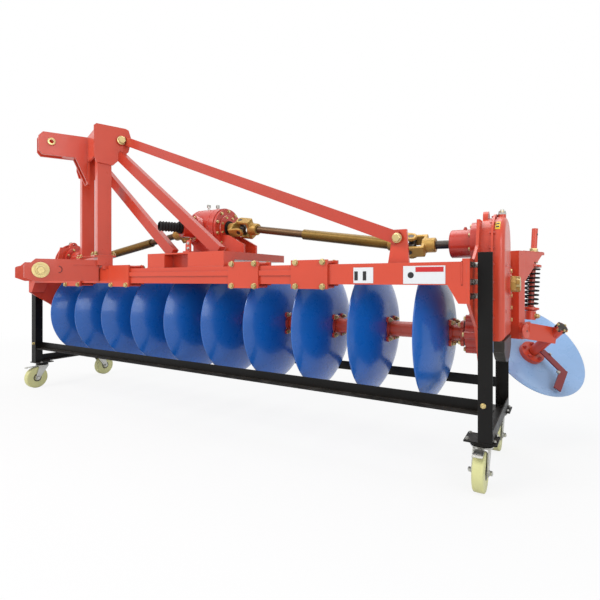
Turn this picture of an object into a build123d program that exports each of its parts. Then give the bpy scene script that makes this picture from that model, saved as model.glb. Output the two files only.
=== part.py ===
"""Mounted driven disc harrow, parked on a caster trolley.

The gang of ten dished discs turns on one axle that runs along X.
Two end gear cases drive the axle from a centre gearbox through two drive shafts.
The tractor stands at -Y and pulls along the travel direction, which is skewed to the axle.
A sprung furrow wheel trails behind the right end. The trolley carries the end plates.
Lengths are in millimetres, Z points up and the floor is at zero.
"""
import os
from math import cos, radians, sin, sqrt, tan

from build123d import *

os.makedirs("parts", exist_ok=True)

# Place of the middle of the whole footprint, seen from the middle of the gang axle
footprint_x = 133.37
footprint_y = 47.02

# Gang of discs
disc_count = 10
disc_pitch = 300.0
disc_d = 660.0
disc_dish = 85.0
disc_t = 6.0
disc_eye_d = 112.0
disc_flat_d = 176.0
axle_z = 590.0
axle_d = 76.0
axle_bore_d = 40.0
hub_t = 12.0
hub_d = 108.0
hub_lobe_r = 15.0
hub_lobe_circle_d = 134.0
hub_lobes = 4
hub_clearance = 0.3

# Running fits
bearing_clearance = 0.05
wheel_clearance = 0.05

# Main beam, a closed box section in front of the gang
beam_depth = 94.0
beam_height = 92.0
beam_wall = 8.0
beam_top_z = 908.0
beam_front_y = -360.0
beam_left_x = -1560.0
beam_right_x = 1560.0
beam_flange_t = 16.0
beam_flange_drop = 165.0
beam_flare_len = 56.0
beam_rib_h = 26.0
beam_rib_t = 8.0
beam_rib_z = 858.0

# Clamps that grip the beam
clamp_xs = (-1010.0, -508.0, 487.0, 878.0)
clamp_len = 196.0
clamp_t = 12.0
clamp_over = 22.0
clamp_rear_over = 8.0
clamp_bolt_d = 18.0
clamp_bolt_pitch = 146.0

# Side plates at both ends of the beam
side_plate_t = 12.0
side_plate_top_z = 1100.0
side_plate_bottom_z = 470.0
side_plate_rear_y = 205.0
side_plate_neck_y = -196.0
side_plate_toe_y = -92.0

# End gear cases
case_depth = 98.0
case_inner_depth = 54.0
case_rim_t = 9.0
case_rim_w = 12.0
case_set_in = 4.0
case_edge_r = 24.0
case_idler_y = 30.0
idler_boss_t = 12.0
idler_boss_d = 96.0
lift_eye_drop = 6.0
lift_eye_rise = 4.0
lift_eye_t = 22.0
lift_eye_d = 62.0
lift_hole_d = 24.0
plug_y = 16.0
plug_inset = 24.0
plug_boss_len = 24.0
plug_boss_d = 34.0
plug_boss_rise = 8.0
case_half_front = 118.0
case_half_rear = 160.0
case_top_z = 1122.0
case_bottom_z = 470.0
case_guard_top_z = 575.0
case_input_z = 1005.0
case_idler_z = 818.0
boss_d = 190.0
boss_len = 34.0
input_housing_d = 132.0
input_housing_len = 126.0
bearing_housing_d = 196.0
bearing_housing_len = 58.0
bearing_lobe_d = 34.0
axle_flange_d = 150.0
axle_flange_t = 14.0
axle_flange_gap = 8.0
idler_nut_d = 62.0
idler_nut_len = 38.0
plug_d = 22.0
plug_len = 18.0

# Centre gearbox on its platform
gearbox_x = -40.0
gearbox_width = 200.0
gearbox_depth = 250.0
gearbox_barrel_d = 262.0
gearbox_shaft_z = 1160.0
gearbox_flange_d = 250.0
gearbox_flange_t = 18.0
gearbox_web_t = 16.0
web_clearance = 0.3
gearbox_web_y = 60.0
gearbox_web_reach = 253.0
gearbox_web_low = 58.0
gearbox_web_high = 120.0
gearbox_seal_d = 96.0
gearbox_seal_t = 14.0
gearbox_foot_w = 330.0
gearbox_foot_t = 20.0
platform_top_z = 993.0
platform_member_h = 44.0
platform_rear_y = 236.0
platform_left_x0 = -256.0
platform_left_x1 = -110.0
platform_right_x0 = 79.0
platform_right_x1 = 345.0
platform_front_y = -354.0
platform_wall = 20.0
platform_lid_t = 8.0

# Power input and its rubber boot
input_neck_d = 116.0
input_barrel_d = 150.0
input_neck_from_axis = 223.0
input_flange_d = 168.0
input_flange_from = 128.0
input_flange_t = 18.0
pto_d = 34.9
pto_len = 96.0
boot_d = 62.0
boot_waist_d = 50.0
boot_wall = 4.0
boot_len = 140.0
boot_folds = 7
boot_collar_d = 76.0
boot_collar_len = 16.0

# Drive shafts from the gearbox to the end cases
yoke_hub_d = 72.0
yoke_hub_end = 118.0
yoke_short_end = 98.0
yoke_base_start = 56.0
yoke_base_t = 18.0
ear_w = 56.0
ear_t = 17.0
ear_turn = 38.0
cross_d = 26.0
cross_span = 120.0
cross_ball_d = 44.0
cross_clearance = 0.05
inner_tube_d = 42.0
outer_tube_d = 58.0
outer_tube_wall = 5.0
drive_stub_d = 44.0
outer_tube_from = 640.0
drive_joint_in = 234.0
drive_joint_out = 1256.0
spline_shaft_d = 40.0

# Hitch, set on the travel direction
travel_angle = 22.0
mast_near_x = -722.0
mast_near_y = -330.0
mast_spread = 500.0
upright_deep = 86.0
upright_wide = 74.0
upright_wall = 6.0
upright_top_z = 1835.0
hitch_pad_t = 24.0
crossbar_h = 54.0
crossbar_w = 92.0
crossbar_overhang = 58.0
mast_foot_t = 14.0
lower_pin_near_x = -848.0
lower_pin_near_y = -670.0
lower_pin_spread = 683.0
lower_pin_z = 898.0
lower_pin_d = 28.0
lower_pin_len = 98.0
lower_shank_d = 34.0
lower_washer_d = 96.0
lower_washer_t = 8.0
lower_head_d = 58.0
lower_head_t = 14.0
arm_t = 20.0
arm_h = 138.0
arm_nose = 86.0
arm_nose_h = 74.0
top_ear_t = 15.0
top_ear_gap = 60.0
top_ear_len = 295.0
top_ear_h = 150.0
top_ear_below = 90.0
ear_root_rise = 22.0
ear_gusset_len = 78.0
ear_tie_len = 150.0
ear_tie_t = 10.0
ear_tie_low = 8.0
ear_tie_high = 26.0
top_pin_ahead = 276.0
top_pin_z = 1756.0
top_pin_bore_d = 25.6
top_boss_d = 52.0
top_boss_t = 6.0
head_plate_t = 12.0
head_plate_z0 = 1655.0
head_plate_z1 = 1832.0
head_tongue_len = 150.0
head_tongue_over = 24.0
mast_plate_t = 12.0
mast_plate_len = 236.0
mast_plate_z0 = 1597.0
mast_plate_z1 = 1856.0

# Braces of the mast
long_brace_h = 56.0
long_brace_t = 14.0
long_brace_foot_x = 1288.0
long_brace_foot_z = 1016.0
long_brace_top_z = 1768.0
long_brace_set_back = 126.0
brace_eye_front = 46.0
brace_eye_rear = 34.0
brace_bolt_d = 24.0
tube_brace_w = 62.0
tube_brace_t = 40.0
near_brace_slope = 0.724
near_brace_set_back = 100.0
near_brace_foot_in = 62.0
far_brace_drop = 25.0
far_brace_foot_in = 140.0
lug_t = 16.0
lug_len = 92.0
lug_h = 146.0

# Furrow wheel behind the right end
tail_post_side = 7.0
tail_post_back = 174.0
tail_post_w = 60.0
tail_post_z0 = 540.0
tail_post_z1 = 984.0
tail_ear_t = 12.0
tail_ear_gap = 0.3
tail_ear_z0 = 610.0
tail_ear_z1 = 900.0
tail_arm_len = 236.0
tail_arm_w = 46.0
tail_arm_t = 14.0
tail_gusset_h = 170.0
spring_d = 74.0
spring_wire = 10.0
spring_top_z = 905.0
spring_bottom_z = 690.0
spring_turns = 9
spring_seat_t = 10.0
rod_d = 30.0
rod_top_z = 1112.0
rod_top_back = 205.0
rod_foot_z = 655.0
rod_foot_back = 152.0
clevis_w = 54.0
clevis_len = 46.0
clevis_drop = 30.0
swing_pivot_z = 580.0
swing_boss_d = 68.0
swing_h = 84.0
swing_w = 62.0
wheel_axis_x = 0.560
wheel_axis_y = -0.535
wheel_axis_z = 0.632
tail_disc_d = 560.0
tail_disc_dish = 52.0
tail_disc_t = 5.0
tail_disc_side = 75.0
tail_disc_back = 277.0
tail_disc_z = 449.0
tail_hub_d = 132.0
tail_hub_t = 26.0
spindle_tube_d = 54.0
spindle_d = 34.0
spindle_gap = 6.0
spindle_len = 226.0
spindle_cap_d = 58.0
spindle_cap_len = 16.0

# Trolley
angle_w = 50.0
angle_t = 5.0
post_w = 55.0
rail_z0 = 299.0
rail_inner_y = 246.0
post_gap = 19.5
post_top_z = 946.0
post_spacer_d = 22.0
post_spacer_zs = (772.0, 828.0, 896.0)
post_spacer_y = -272.0
caster_height = 195.0
caster_plate_x = 125.0
caster_plate_y = 115.0
caster_plate_t = 6.0
caster_out = 8.5
caster_trail = 46.0
caster_wheel_d = 158.0
caster_wheel_w = 44.0
caster_axle_d = 12.0
caster_leg_t = 4.0
caster_leg_gap = 4.0
caster_race_d = 84.0
caster_race_t = 14.0
caster_race_gap = 5.0
kingpin_d = 20.0

# Values worked out from the sizes above
gang_len = (disc_count - 1) * disc_pitch
gang_first_x = -gang_len / 2 + 10.0
beam_bottom_z = beam_top_z - beam_height
beam_rear_y = beam_front_y + beam_depth
plate_x0 = beam_right_x + beam_flange_t
plate_x1 = plate_x0 + side_plate_t
case_x1 = plate_x1 + case_depth
cover_x0 = plate_x1 + case_inner_depth
plug_x = case_x1 - plug_inset
post_inner_x = plate_x1 + post_gap
post_outer_x = post_inner_x + post_w
caster_x = post_inner_x + caster_out
caster_y = rail_inner_y
tail_post_x = case_x1 + tail_post_side
tail_post_y = case_half_rear + tail_post_back
tail_disc_x = tail_post_x + tail_disc_side
tail_disc_y = tail_post_y + tail_disc_back
far_brace_top_z = upright_top_z - far_brace_drop
rail_outer_y = rail_inner_y + angle_w
ahead_x = -sin(radians(travel_angle))
ahead_y = -cos(radians(travel_angle))
across_x = cos(radians(travel_angle))
across_y = -sin(radians(travel_angle))
crossbar_z0 = beam_top_z + hitch_pad_t
crossbar_z1 = crossbar_z0 + crossbar_h
wheel_axis_size = sqrt(wheel_axis_x**2 + wheel_axis_y**2 + wheel_axis_z**2)
wheel_axis = (
    wheel_axis_x / wheel_axis_size,
    wheel_axis_y / wheel_axis_size,
    wheel_axis_z / wheel_axis_size,
)
ends = (-1, 1)


def at(x, y, z):
    """Point given from the middle of the gang axle, in the frame of the whole machine."""
    return (x - footprint_x, y - footprint_y, z)


def along(point, direction, distance):
    """Point moved by a distance along a direction."""
    return tuple(p + d * distance for p, d in zip(point, direction))


def hitch_point(x, y, ahead, across, z):
    """Point a distance ahead and a distance across from a place on the skewed hitch."""
    return (x + ahead_x * ahead + across_x * across, y + ahead_y * ahead + across_y * across, z)


def block(x0, x1, y0, y1, z0, z1, mode=Mode.ADD):
    """Box between six limits."""
    with Locations(at((x0 + x1) / 2, (y0 + y1) / 2, (z0 + z1) / 2)):
        Box(x1 - x0, y1 - y0, z1 - z0, mode=mode)


def hitch_block(point, size_ahead, size_across, height, mode=Mode.ADD):
    """Box square to the travel direction, standing on a point."""
    plane = Plane(origin=at(*point), x_dir=(ahead_x, ahead_y, 0), z_dir=(0, 0, 1))
    with Locations(plane):
        Box(size_ahead, size_across, height, align=(Align.CENTER, Align.CENTER, Align.MIN), mode=mode)


def rod(start, direction, length, diameter, mode=Mode.ADD):
    """Round bar from a point along a direction."""
    with Locations(Plane(origin=at(*start), z_dir=direction)):
        Cylinder(
            diameter / 2, length, align=(Align.CENTER, Align.CENTER, Align.MIN), mode=mode
        )


def bar_between(start, end, width, depth, side=(0, 1, 0)):
    """Rectangular bar from one point to another; side is the direction of its depth."""
    run = Vector(*end) - Vector(*start)
    with Locations(Plane(origin=at(*start), x_dir=side, z_dir=tuple(run))):
        Box(depth, width, run.length, align=(Align.CENTER, Align.CENTER, Align.MIN))


def plate_x(x0, thickness, corners, mode=Mode.ADD):
    """Plate square to X with the given corners in Y and Z, growing to +X."""
    plane = Plane(origin=at(x0, 0, 0), x_dir=(0, 1, 0), z_dir=(1, 0, 0))
    with BuildSketch(plane) as face:
        Polygon(*corners, align=None)
    extrude(face.sketch, amount=thickness, mode=mode)


def hitch_plate(origin, thickness, corners, mode=Mode.ADD):
    """Plate that holds the travel direction and Z, centred on an origin."""
    plane = Plane(origin=at(*origin), x_dir=(ahead_x, ahead_y, 0), z_dir=(-across_x, -across_y, 0))
    with BuildSketch(plane) as face:
        Polygon(*[(a, z) for a, z in corners], align=None)
    extrude(face.sketch, amount=thickness / 2, both=True, mode=mode)


def dished_disc(plane, diameter, dish, thickness, flat_d, eye_d):
    """Round dish around the plane's Z: rim at the plane, flat middle one dish higher."""
    rim = diameter / 2
    flat = flat_d / 2
    eye = eye_d / 2
    ball = ((rim - flat) ** 2 + dish**2) / (2 * dish)
    middle = (rim + flat) / 2
    rise = dish - (ball - sqrt(ball**2 - (middle - flat) ** 2))
    side = Plane(origin=plane.origin, x_dir=plane.x_dir, z_dir=-plane.y_dir)
    with BuildSketch(side) as profile:
        with BuildLine():
            Polyline((eye, dish), (flat, dish))
            ThreePointArc((flat, dish), (middle, rise), (rim, 0))
            Line((rim, 0), (rim, -thickness))
            ThreePointArc((rim, -thickness), (middle, rise - thickness), (flat, dish - thickness))
            Polyline((flat, dish - thickness), (eye, dish - thickness), (eye, dish))
        make_face()
    revolve(profile.sketch, axis=Axis(plane.origin, plane.z_dir))


def lobed_flange(x0, thickness, body_d, circle_d, lobe_d, lobes, bore_d, start_angle=45.0):
    """Flange square to X with round lobes on a circle and a bore."""
    plane = Plane(origin=at(x0, 0, axle_z), x_dir=(0, 1, 0), z_dir=(1, 0, 0))
    with BuildSketch(plane) as face:
        Circle(body_d / 2)
        with PolarLocations(circle_d / 2, lobes, start_angle=start_angle):
            Circle(lobe_d / 2)
        Circle(bore_d / 2, mode=Mode.SUBTRACT)
    extrude(face.sketch, amount=thickness)


# Discs of the gang, dished towards +X
with BuildPart() as gang_discs:
    for place in range(disc_count):
        rim_x = gang_first_x + place * disc_pitch
        rim_plane = Plane(origin=at(rim_x, 0, axle_z), x_dir=(0, 1, 0), z_dir=(1, 0, 0))
        dished_disc(rim_plane, disc_d, disc_dish, disc_t, disc_flat_d, disc_eye_d)
gang_discs.part.label = "gang_discs"
export_step(gang_discs.part, "parts/gang_discs.step")

# Lobed hubs on the outer face of each disc
with BuildPart() as gang_hubs:
    for place in range(disc_count):
        hub_x = gang_first_x + place * disc_pitch + disc_dish
        lobed_flange(
            hub_x, hub_t, hub_d, hub_lobe_circle_d, 2 * hub_lobe_r, hub_lobes, axle_d
        )
gang_hubs.part.label = "gang_hubs"
export_step(gang_hubs.part, "parts/gang_hubs.step")

# Axle tube with its end flanges
axle_half = plate_x0 - axle_flange_gap
flange_x = plate_x0 - bearing_housing_len - axle_flange_gap - axle_flange_t
with BuildPart() as gang_axle:
    rod((-axle_half, 0, axle_z), (1, 0, 0), 2 * axle_half, axle_d)
    for side in ends:
        lobed_flange(
            side * flange_x if side > 0 else -flange_x - axle_flange_t,
            axle_flange_t,
            axle_flange_d - bearing_lobe_d,
            axle_flange_d - bearing_lobe_d,
            bearing_lobe_d,
            hub_lobes,
            axle_d - 1.0,
        )
    rod((-axle_half, 0, axle_z), (1, 0, 0), 2 * axle_half, axle_bore_d, mode=Mode.SUBTRACT)
gang_axle.part.label = "gang_axle"
export_step(gang_axle.part, "parts/gang_axle.step")

# Bearing housings inside the end plates
with BuildPart() as bearing_housings:
    for side in ends:
        x0 = plate_x0 - bearing_housing_len if side > 0 else -plate_x0
        lobed_flange(
            x0,
            bearing_housing_len,
            bearing_housing_d - bearing_lobe_d,
            bearing_housing_d - bearing_lobe_d,
            bearing_lobe_d,
            6,
            axle_d + 2 * bearing_clearance,
            start_angle=0.0,
        )
bearing_housings.part.label = "bearing_housings"
export_step(bearing_housings.part, "parts/bearing_housings.step")

# Main beam with end flanges and the rib along its front
with BuildPart() as main_beam:
    block(beam_left_x, beam_right_x, beam_front_y, beam_rear_y, beam_bottom_z, beam_top_z)
    block(
        beam_left_x + beam_wall,
        beam_right_x - beam_wall,
        beam_front_y + beam_wall,
        beam_rear_y - beam_wall,
        beam_bottom_z + beam_wall,
        beam_top_z - beam_wall,
        mode=Mode.SUBTRACT,
    )
    for side in ends:
        inner = beam_right_x - beam_flare_len
        face_x0 = beam_right_x if side > 0 else -beam_right_x - beam_flange_t
        block(
            face_x0,
            face_x0 + beam_flange_t,
            beam_front_y,
            beam_rear_y + 20.0,
            beam_top_z - beam_flange_drop,
            beam_top_z + 12.0,
        )
        web = Plane(origin=at(0, beam_front_y, 0), x_dir=(1, 0, 0), z_dir=(0, -1, 0))
        with BuildSketch(web) as gusset:
            Polygon(
                (side * inner, beam_bottom_z),
                (side * beam_right_x, beam_bottom_z),
                (side * beam_right_x, beam_top_z - beam_flange_drop),
                (side * (beam_right_x - 14.0), beam_top_z - beam_flange_drop),
                align=None,
            )
        extrude(gusset.sketch, amount=-beam_depth)
    rib_stops = [x + side * clamp_len / 2 for x in clamp_xs for side in ends]
    for x0, x1 in ((rib_stops[3], rib_stops[4]), (rib_stops[5], rib_stops[6])):
        block(
            x0,
            x1,
            beam_front_y - beam_rib_t,
            beam_front_y,
            beam_rib_z,
            beam_rib_z + beam_rib_h,
        )
main_beam.part.label = "main_beam"
export_step(main_beam.part, "parts/main_beam.step")

# Clamp plates in front of and behind the beam
clamp_z0 = beam_bottom_z - clamp_over
clamp_z1 = beam_top_z + clamp_over
with BuildPart() as beam_clamps:
    for x in clamp_xs:
        half = clamp_len / 2
        block(
            x - half,
            x + half,
            beam_rear_y,
            beam_rear_y + clamp_t,
            beam_bottom_z - clamp_rear_over,
            clamp_z1,
        )
        block(x - half, x + half, beam_front_y - clamp_t, beam_front_y, clamp_z0, clamp_z1)
        for z0, z1 in ((clamp_z0, beam_bottom_z), (beam_top_z, clamp_z1)):
            for offset in (-clamp_bolt_pitch / 2, clamp_bolt_pitch / 2):
                rod(
                    (x + offset, beam_front_y, (z0 + z1) / 2),
                    (0, 1, 0),
                    beam_depth,
                    clamp_bolt_d,
                )
beam_clamps.part.label = "beam_clamps"
export_step(beam_clamps.part, "parts/beam_clamps.step")

# Side plates that carry the gear cases at both ends
plate_outline = (
    (beam_front_y, beam_top_z + 12.0),
    (beam_front_y, beam_top_z - beam_flange_drop),
    (side_plate_neck_y, 640.0),
    (side_plate_toe_y, side_plate_bottom_z),
    (-side_plate_toe_y, side_plate_bottom_z),
    (side_plate_rear_y, 640.0),
    (side_plate_rear_y, 985.0),
    (120.0, side_plate_top_z),
    (-120.0, side_plate_top_z),
    (-150.0, 985.0),
    (-250.0, beam_top_z + 12.0),
)
with BuildPart() as side_plates:
    for side in ends:
        x0 = plate_x0 if side > 0 else -plate_x1
        plate_x(x0, side_plate_t, plate_outline)
side_plates.part.label = "side_plates"
export_step(side_plates.part, "parts/side_plates.step")

# Gear cases: a casting on the side plate with a rim, and a rounded cover on the rim


def case_outline(x0, grow):
    """Arched outline of a gear case on a plane square to X, grown by a distance."""
    crown = (case_half_front + case_half_rear) / 2
    middle_y = (case_half_rear - case_half_front) / 2
    spring_z = case_top_z - crown
    plane = Plane(origin=at(x0, 0, 0), x_dir=(0, 1, 0), z_dir=(1, 0, 0))
    with BuildSketch(plane) as outline:
        with BuildLine():
            Polyline(
                (-case_half_front - grow, spring_z),
                (-case_half_front - grow, case_guard_top_z),
                (case_half_rear + grow, case_guard_top_z),
                (case_half_rear + grow, spring_z),
            )
            ThreePointArc(
                (case_half_rear + grow, spring_z),
                (middle_y, case_top_z + grow),
                (-case_half_front - grow, spring_z),
            )
        make_face()
    return outline.sketch


with BuildPart() as gear_cases:
    for side in ends:
        wall_x0 = plate_x1 if side > 0 else -cover_x0
        rim_x0 = cover_x0 - case_rim_t if side > 0 else -cover_x0
        extrude(case_outline(wall_x0, -case_set_in), amount=case_inner_depth)
        extrude(case_outline(rim_x0, case_rim_w), amount=case_rim_t)
        rod((side * plate_x1, 0, case_top_z - lift_eye_drop), (side, 0, 0), lift_eye_t, lift_eye_d)
        rod(
            (side * plate_x1, 0, case_top_z + lift_eye_rise),
            (side, 0, 0),
            lift_eye_t,
            lift_hole_d,
            mode=Mode.SUBTRACT,
        )
gear_cases.part.label = "gear_cases"
export_step(gear_cases.part, "parts/gear_cases.step")

cover_depth = case_depth - case_inner_depth
with BuildPart() as case_covers:
    for side in ends:
        extrude(case_outline(cover_x0 if side > 0 else -case_x1, 0), amount=cover_depth)
        outer_face = case_covers.faces().sort_by(Axis.X)[-1 if side > 0 else 0]
        fillet(outer_face.edges(), radius=case_edge_r)
        rod((side * case_x1, case_idler_y, case_idler_z), (side, 0, 0), idler_boss_t, idler_boss_d)
        rod(
            (side * plug_x, plug_y, case_top_z - plug_boss_len),
            (0, 0, 1),
            plug_boss_len + plug_boss_rise,
            plug_boss_d,
        )
case_covers.part.label = "case_covers"
export_step(case_covers.part, "parts/case_covers.step")

# Dark guards that close the foot of each gear case
with BuildPart() as case_guards:
    for side in ends:
        x0 = cover_x0 if side > 0 else -case_x1
        foot = case_guard_top_z - case_bottom_z
        middle_y = (case_half_rear - case_half_front) / 2
        plane = Plane(origin=at(x0, 0, 0), x_dir=(0, 1, 0), z_dir=(1, 0, 0))
        with BuildSketch(plane) as outline:
            with BuildLine():
                Polyline(
                    (-case_half_front, case_bottom_z + foot * 0.55),
                    (-case_half_front, case_guard_top_z),
                    (case_half_rear, case_guard_top_z),
                    (case_half_rear, case_bottom_z + foot * 0.55),
                )
                ThreePointArc(
                    (case_half_rear, case_bottom_z + foot * 0.55),
                    (middle_y, case_bottom_z),
                    (-case_half_front, case_bottom_z + foot * 0.55),
                )
            make_face()
        extrude(outline.sketch, amount=cover_depth)
case_guards.part.label = "case_guards"
export_step(case_guards.part, "parts/case_guards.step")

# Input housings, idler nuts and filler plugs of the gear cases
with BuildPart() as input_housings:
    for side in ends:
        start = (side * plate_x0, 0, case_input_z)
        rod(start, (-side, 0, 0), input_housing_len, input_housing_d)
        rod(start, (-side, 0, 0), boss_len, boss_d)
        rod(start, (-side, 0, 0), input_housing_len, spline_shaft_d, mode=Mode.SUBTRACT)
input_housings.part.label = "input_housings"
export_step(input_housings.part, "parts/input_housings.step")

with BuildPart() as case_nuts:
    for side in ends:
        nut_start = (side * (case_x1 + idler_boss_t), case_idler_y, case_idler_z)
        rod(nut_start, (side, 0, 0), idler_nut_len, idler_nut_d)
        rod((side * plug_x, plug_y, case_top_z + plug_boss_rise), (0, 0, 1), plug_len, plug_d)
case_nuts.part.label = "case_nuts"
export_step(case_nuts.part, "parts/case_nuts.step")

# Platform on the beam under the centre gearbox
with BuildPart() as gearbox_platform:
    for x0, x1 in ((platform_left_x0, platform_left_x1), (platform_right_x0, platform_right_x1)):
        block(x0, x1, platform_front_y, beam_rear_y, beam_top_z, platform_top_z)
        block(
            x0,
            x1,
            beam_rear_y,
            platform_rear_y,
            platform_top_z - platform_member_h,
            platform_top_z,
        )
    block(
        platform_left_x1,
        platform_right_x0,
        beam_rear_y - platform_wall,
        platform_rear_y,
        platform_top_z - platform_member_h,
        platform_top_z,
    )
    block(
        platform_left_x1,
        platform_right_x0,
        beam_rear_y - platform_wall,
        beam_rear_y,
        beam_top_z,
        platform_top_z - platform_member_h,
    )
    block(
        platform_left_x1,
        platform_right_x0,
        platform_front_y,
        beam_rear_y - platform_wall,
        platform_top_z - platform_lid_t,
        platform_top_z,
    )
gearbox_platform.part.label = "gearbox_platform"
export_step(gearbox_platform.part, "parts/gearbox_platform.step")

# Centre gearbox casting: a barrel around the cross shaft on a foot, with an input neck
gearbox_half = gearbox_width / 2
with BuildPart() as gearbox_housing:
    block(
        gearbox_x - gearbox_foot_w / 2,
        gearbox_x + gearbox_foot_w / 2,
        -gearbox_depth / 2,
        gearbox_depth / 2,
        platform_top_z,
        platform_top_z + gearbox_foot_t,
    )
    barrel_start = (gearbox_x - gearbox_half, 0, gearbox_shaft_z)
    rod(barrel_start, (1, 0, 0), gearbox_width, gearbox_barrel_d)
    with Locations(at(gearbox_x, 0, platform_top_z + gearbox_foot_t)):
        Box(
            gearbox_width - 20.0,
            gearbox_depth - 50.0,
            gearbox_shaft_z - platform_top_z - gearbox_foot_t,
            align=(Align.CENTER, Align.CENTER, Align.MIN),
        )
    for side in ends:
        rod(
            (gearbox_x + side * gearbox_half, 0, gearbox_shaft_z),
            (side, 0, 0),
            gearbox_flange_t,
            gearbox_flange_d,
        )
    neck_start = hitch_point(gearbox_x, 0, 0, 0, gearbox_shaft_z)
    neck_way = (ahead_x, ahead_y, 0)
    rod(neck_start, neck_way, input_flange_from, input_barrel_d)
    rod(along(neck_start, neck_way, input_flange_from), neck_way, input_flange_t, input_flange_d)
    rod(neck_start, neck_way, input_neck_from_axis, input_neck_d)
gearbox_housing.part.label = "gearbox_housing"
export_step(gearbox_housing.part, "parts/gearbox_housing.step")

# Upright webs beside the gearbox
with BuildPart() as gearbox_webs:
    web_x0 = gearbox_x + gearbox_half + gearbox_flange_t + web_clearance
    foot_x1 = gearbox_x + gearbox_foot_w / 2 + web_clearance
    foot_z1 = platform_top_z + gearbox_foot_t + web_clearance
    web_z = platform_top_z
    for web_y in (-gearbox_web_y, gearbox_web_y):
        web = Plane(origin=at(0, web_y, 0), x_dir=(1, 0, 0), z_dir=(0, -1, 0))
        with BuildSketch(web) as outline:
            Polygon(
                (web_x0, foot_z1),
                (foot_x1, foot_z1),
                (foot_x1, web_z),
                (gearbox_web_reach, web_z),
                (gearbox_web_reach, web_z + gearbox_web_low),
                (gearbox_web_reach - gearbox_web_high, web_z + gearbox_web_high),
                (web_x0, web_z + gearbox_web_high),
                align=None,
            )
        extrude(outline.sketch, amount=gearbox_web_t / 2, both=True)
gearbox_webs.part.label = "gearbox_webs"
export_step(gearbox_webs.part, "parts/gearbox_webs.step")

# Power input stub and its boot
neck_end = hitch_point(gearbox_x, 0, input_neck_from_axis, 0, gearbox_shaft_z)
with BuildPart() as pto_input_shaft:
    rod(neck_end, (ahead_x, ahead_y, 0), pto_len, pto_d)
pto_input_shaft.part.label = "pto_input_shaft"
export_step(pto_input_shaft.part, "parts/pto_input_shaft.step")

boot_plane = Plane(origin=at(*neck_end), x_dir=(across_x, across_y, 0), z_dir=(ahead_x, ahead_y, 0))
fold = (boot_len - boot_collar_len) / boot_folds
with BuildPart() as pto_boot:
    side_plane = Plane(origin=boot_plane.origin, x_dir=boot_plane.x_dir, z_dir=-boot_plane.y_dir)
    with BuildSketch(side_plane) as profile:
        with BuildLine():
            points = [(boot_collar_d / 2, 0), (boot_collar_d / 2, boot_collar_len)]
            for turn in range(boot_folds):
                fold_z = boot_collar_len + turn * fold
                points.append((boot_waist_d / 2, fold_z + 0.12 * fold))
                points.append((boot_d / 2, fold_z + 0.56 * fold))
            points.append((boot_waist_d / 2, boot_len))
            bore = boot_waist_d / 2 - boot_wall
            Polyline(*points, (bore, boot_len), (bore, 0), close=True)
        make_face()
    revolve(profile.sketch, axis=Axis(boot_plane.origin, boot_plane.z_dir))
pto_boot.part.label = "pto_boot"
export_step(pto_boot.part, "parts/pto_boot.step")

# Seal rings and outlet stubs on both sides of the gearbox
flange_face = gearbox_half + gearbox_flange_t
with BuildPart() as gearbox_seals:
    for side in ends:
        rod(
            (gearbox_x + side * flange_face, 0, gearbox_shaft_z),
            (side, 0, 0),
            gearbox_seal_t,
            gearbox_seal_d,
        )
        rod(
            (gearbox_x + side * flange_face, 0, gearbox_shaft_z),
            (side, 0, 0),
            gearbox_seal_t,
            drive_stub_d,
            mode=Mode.SUBTRACT,
        )
gearbox_seals.part.label = "gearbox_seals"
export_step(gearbox_seals.part, "parts/gearbox_seals.step")

# Drive shafts: the joint centres, then the run between them


def drive_points(side):
    """Joint centres of one drive shaft and the direction from the inner to the outer one."""
    inner_joint = (gearbox_x + side * drive_joint_in, 0.0, gearbox_shaft_z)
    outer_joint = (side * drive_joint_out, 0.0, case_input_z)
    run = Vector(*outer_joint) - Vector(*inner_joint)
    return inner_joint, outer_joint, tuple(run.normalized()), run.length


def joint_arms(way):
    """Directions of the two arms of a cross: square to X, and square to the shaft's run."""
    turn = radians(ear_turn)
    first = Vector(0, cos(turn), sin(turn))
    second = Vector(*way).cross(first).normalized()
    return tuple(first), tuple(second)


def fork(centre, back, arm, hub_end):
    """Fork of a drive joint: hub, base and two ears that hold one arm of the cross."""
    plane = Plane(origin=at(*centre), x_dir=arm, z_dir=back)
    reach = cross_span / 2
    rod(along(centre, back, yoke_base_start), back, hub_end - yoke_base_start, yoke_hub_d)
    with Locations(plane.offset(yoke_base_start)):
        Box(cross_span, ear_w, yoke_base_t, align=(Align.CENTER, Align.CENTER, Align.MIN))
    for side in ends:
        with Locations(plane * Location((side * (reach - ear_t / 2), 0, 0))):
            Box(ear_t, ear_w, yoke_base_start + 1.0, align=(Align.CENTER, Align.CENTER, Align.MIN))
        ear_start = along(centre, arm, side * (reach - ear_t))
        outward = tuple(side * a for a in arm)
        rod(ear_start, outward, ear_t, ear_w)
    rod(
        along(centre, arm, -reach - 1.0),
        arm,
        2 * reach + 2.0,
        cross_d + 2 * cross_clearance,
        mode=Mode.SUBTRACT,
    )


drive_joints = []
for side in ends:
    inner_joint, outer_joint, way, length = drive_points(side)
    drive_joints.append((inner_joint, (-side, 0, 0), way, way, yoke_short_end))
    drive_joints.append((outer_joint, (side, 0, 0), tuple(-w for w in way), way, yoke_hub_end))

with BuildPart() as drive_yokes:
    for centre, back, ahead, way, back_end in drive_joints:
        first, second = joint_arms(way)
        fork(centre, back, first, back_end)
        fork(centre, ahead, second, yoke_hub_end)
drive_yokes.part.label = "drive_yokes"
export_step(drive_yokes.part, "parts/drive_yokes.step")

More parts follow.
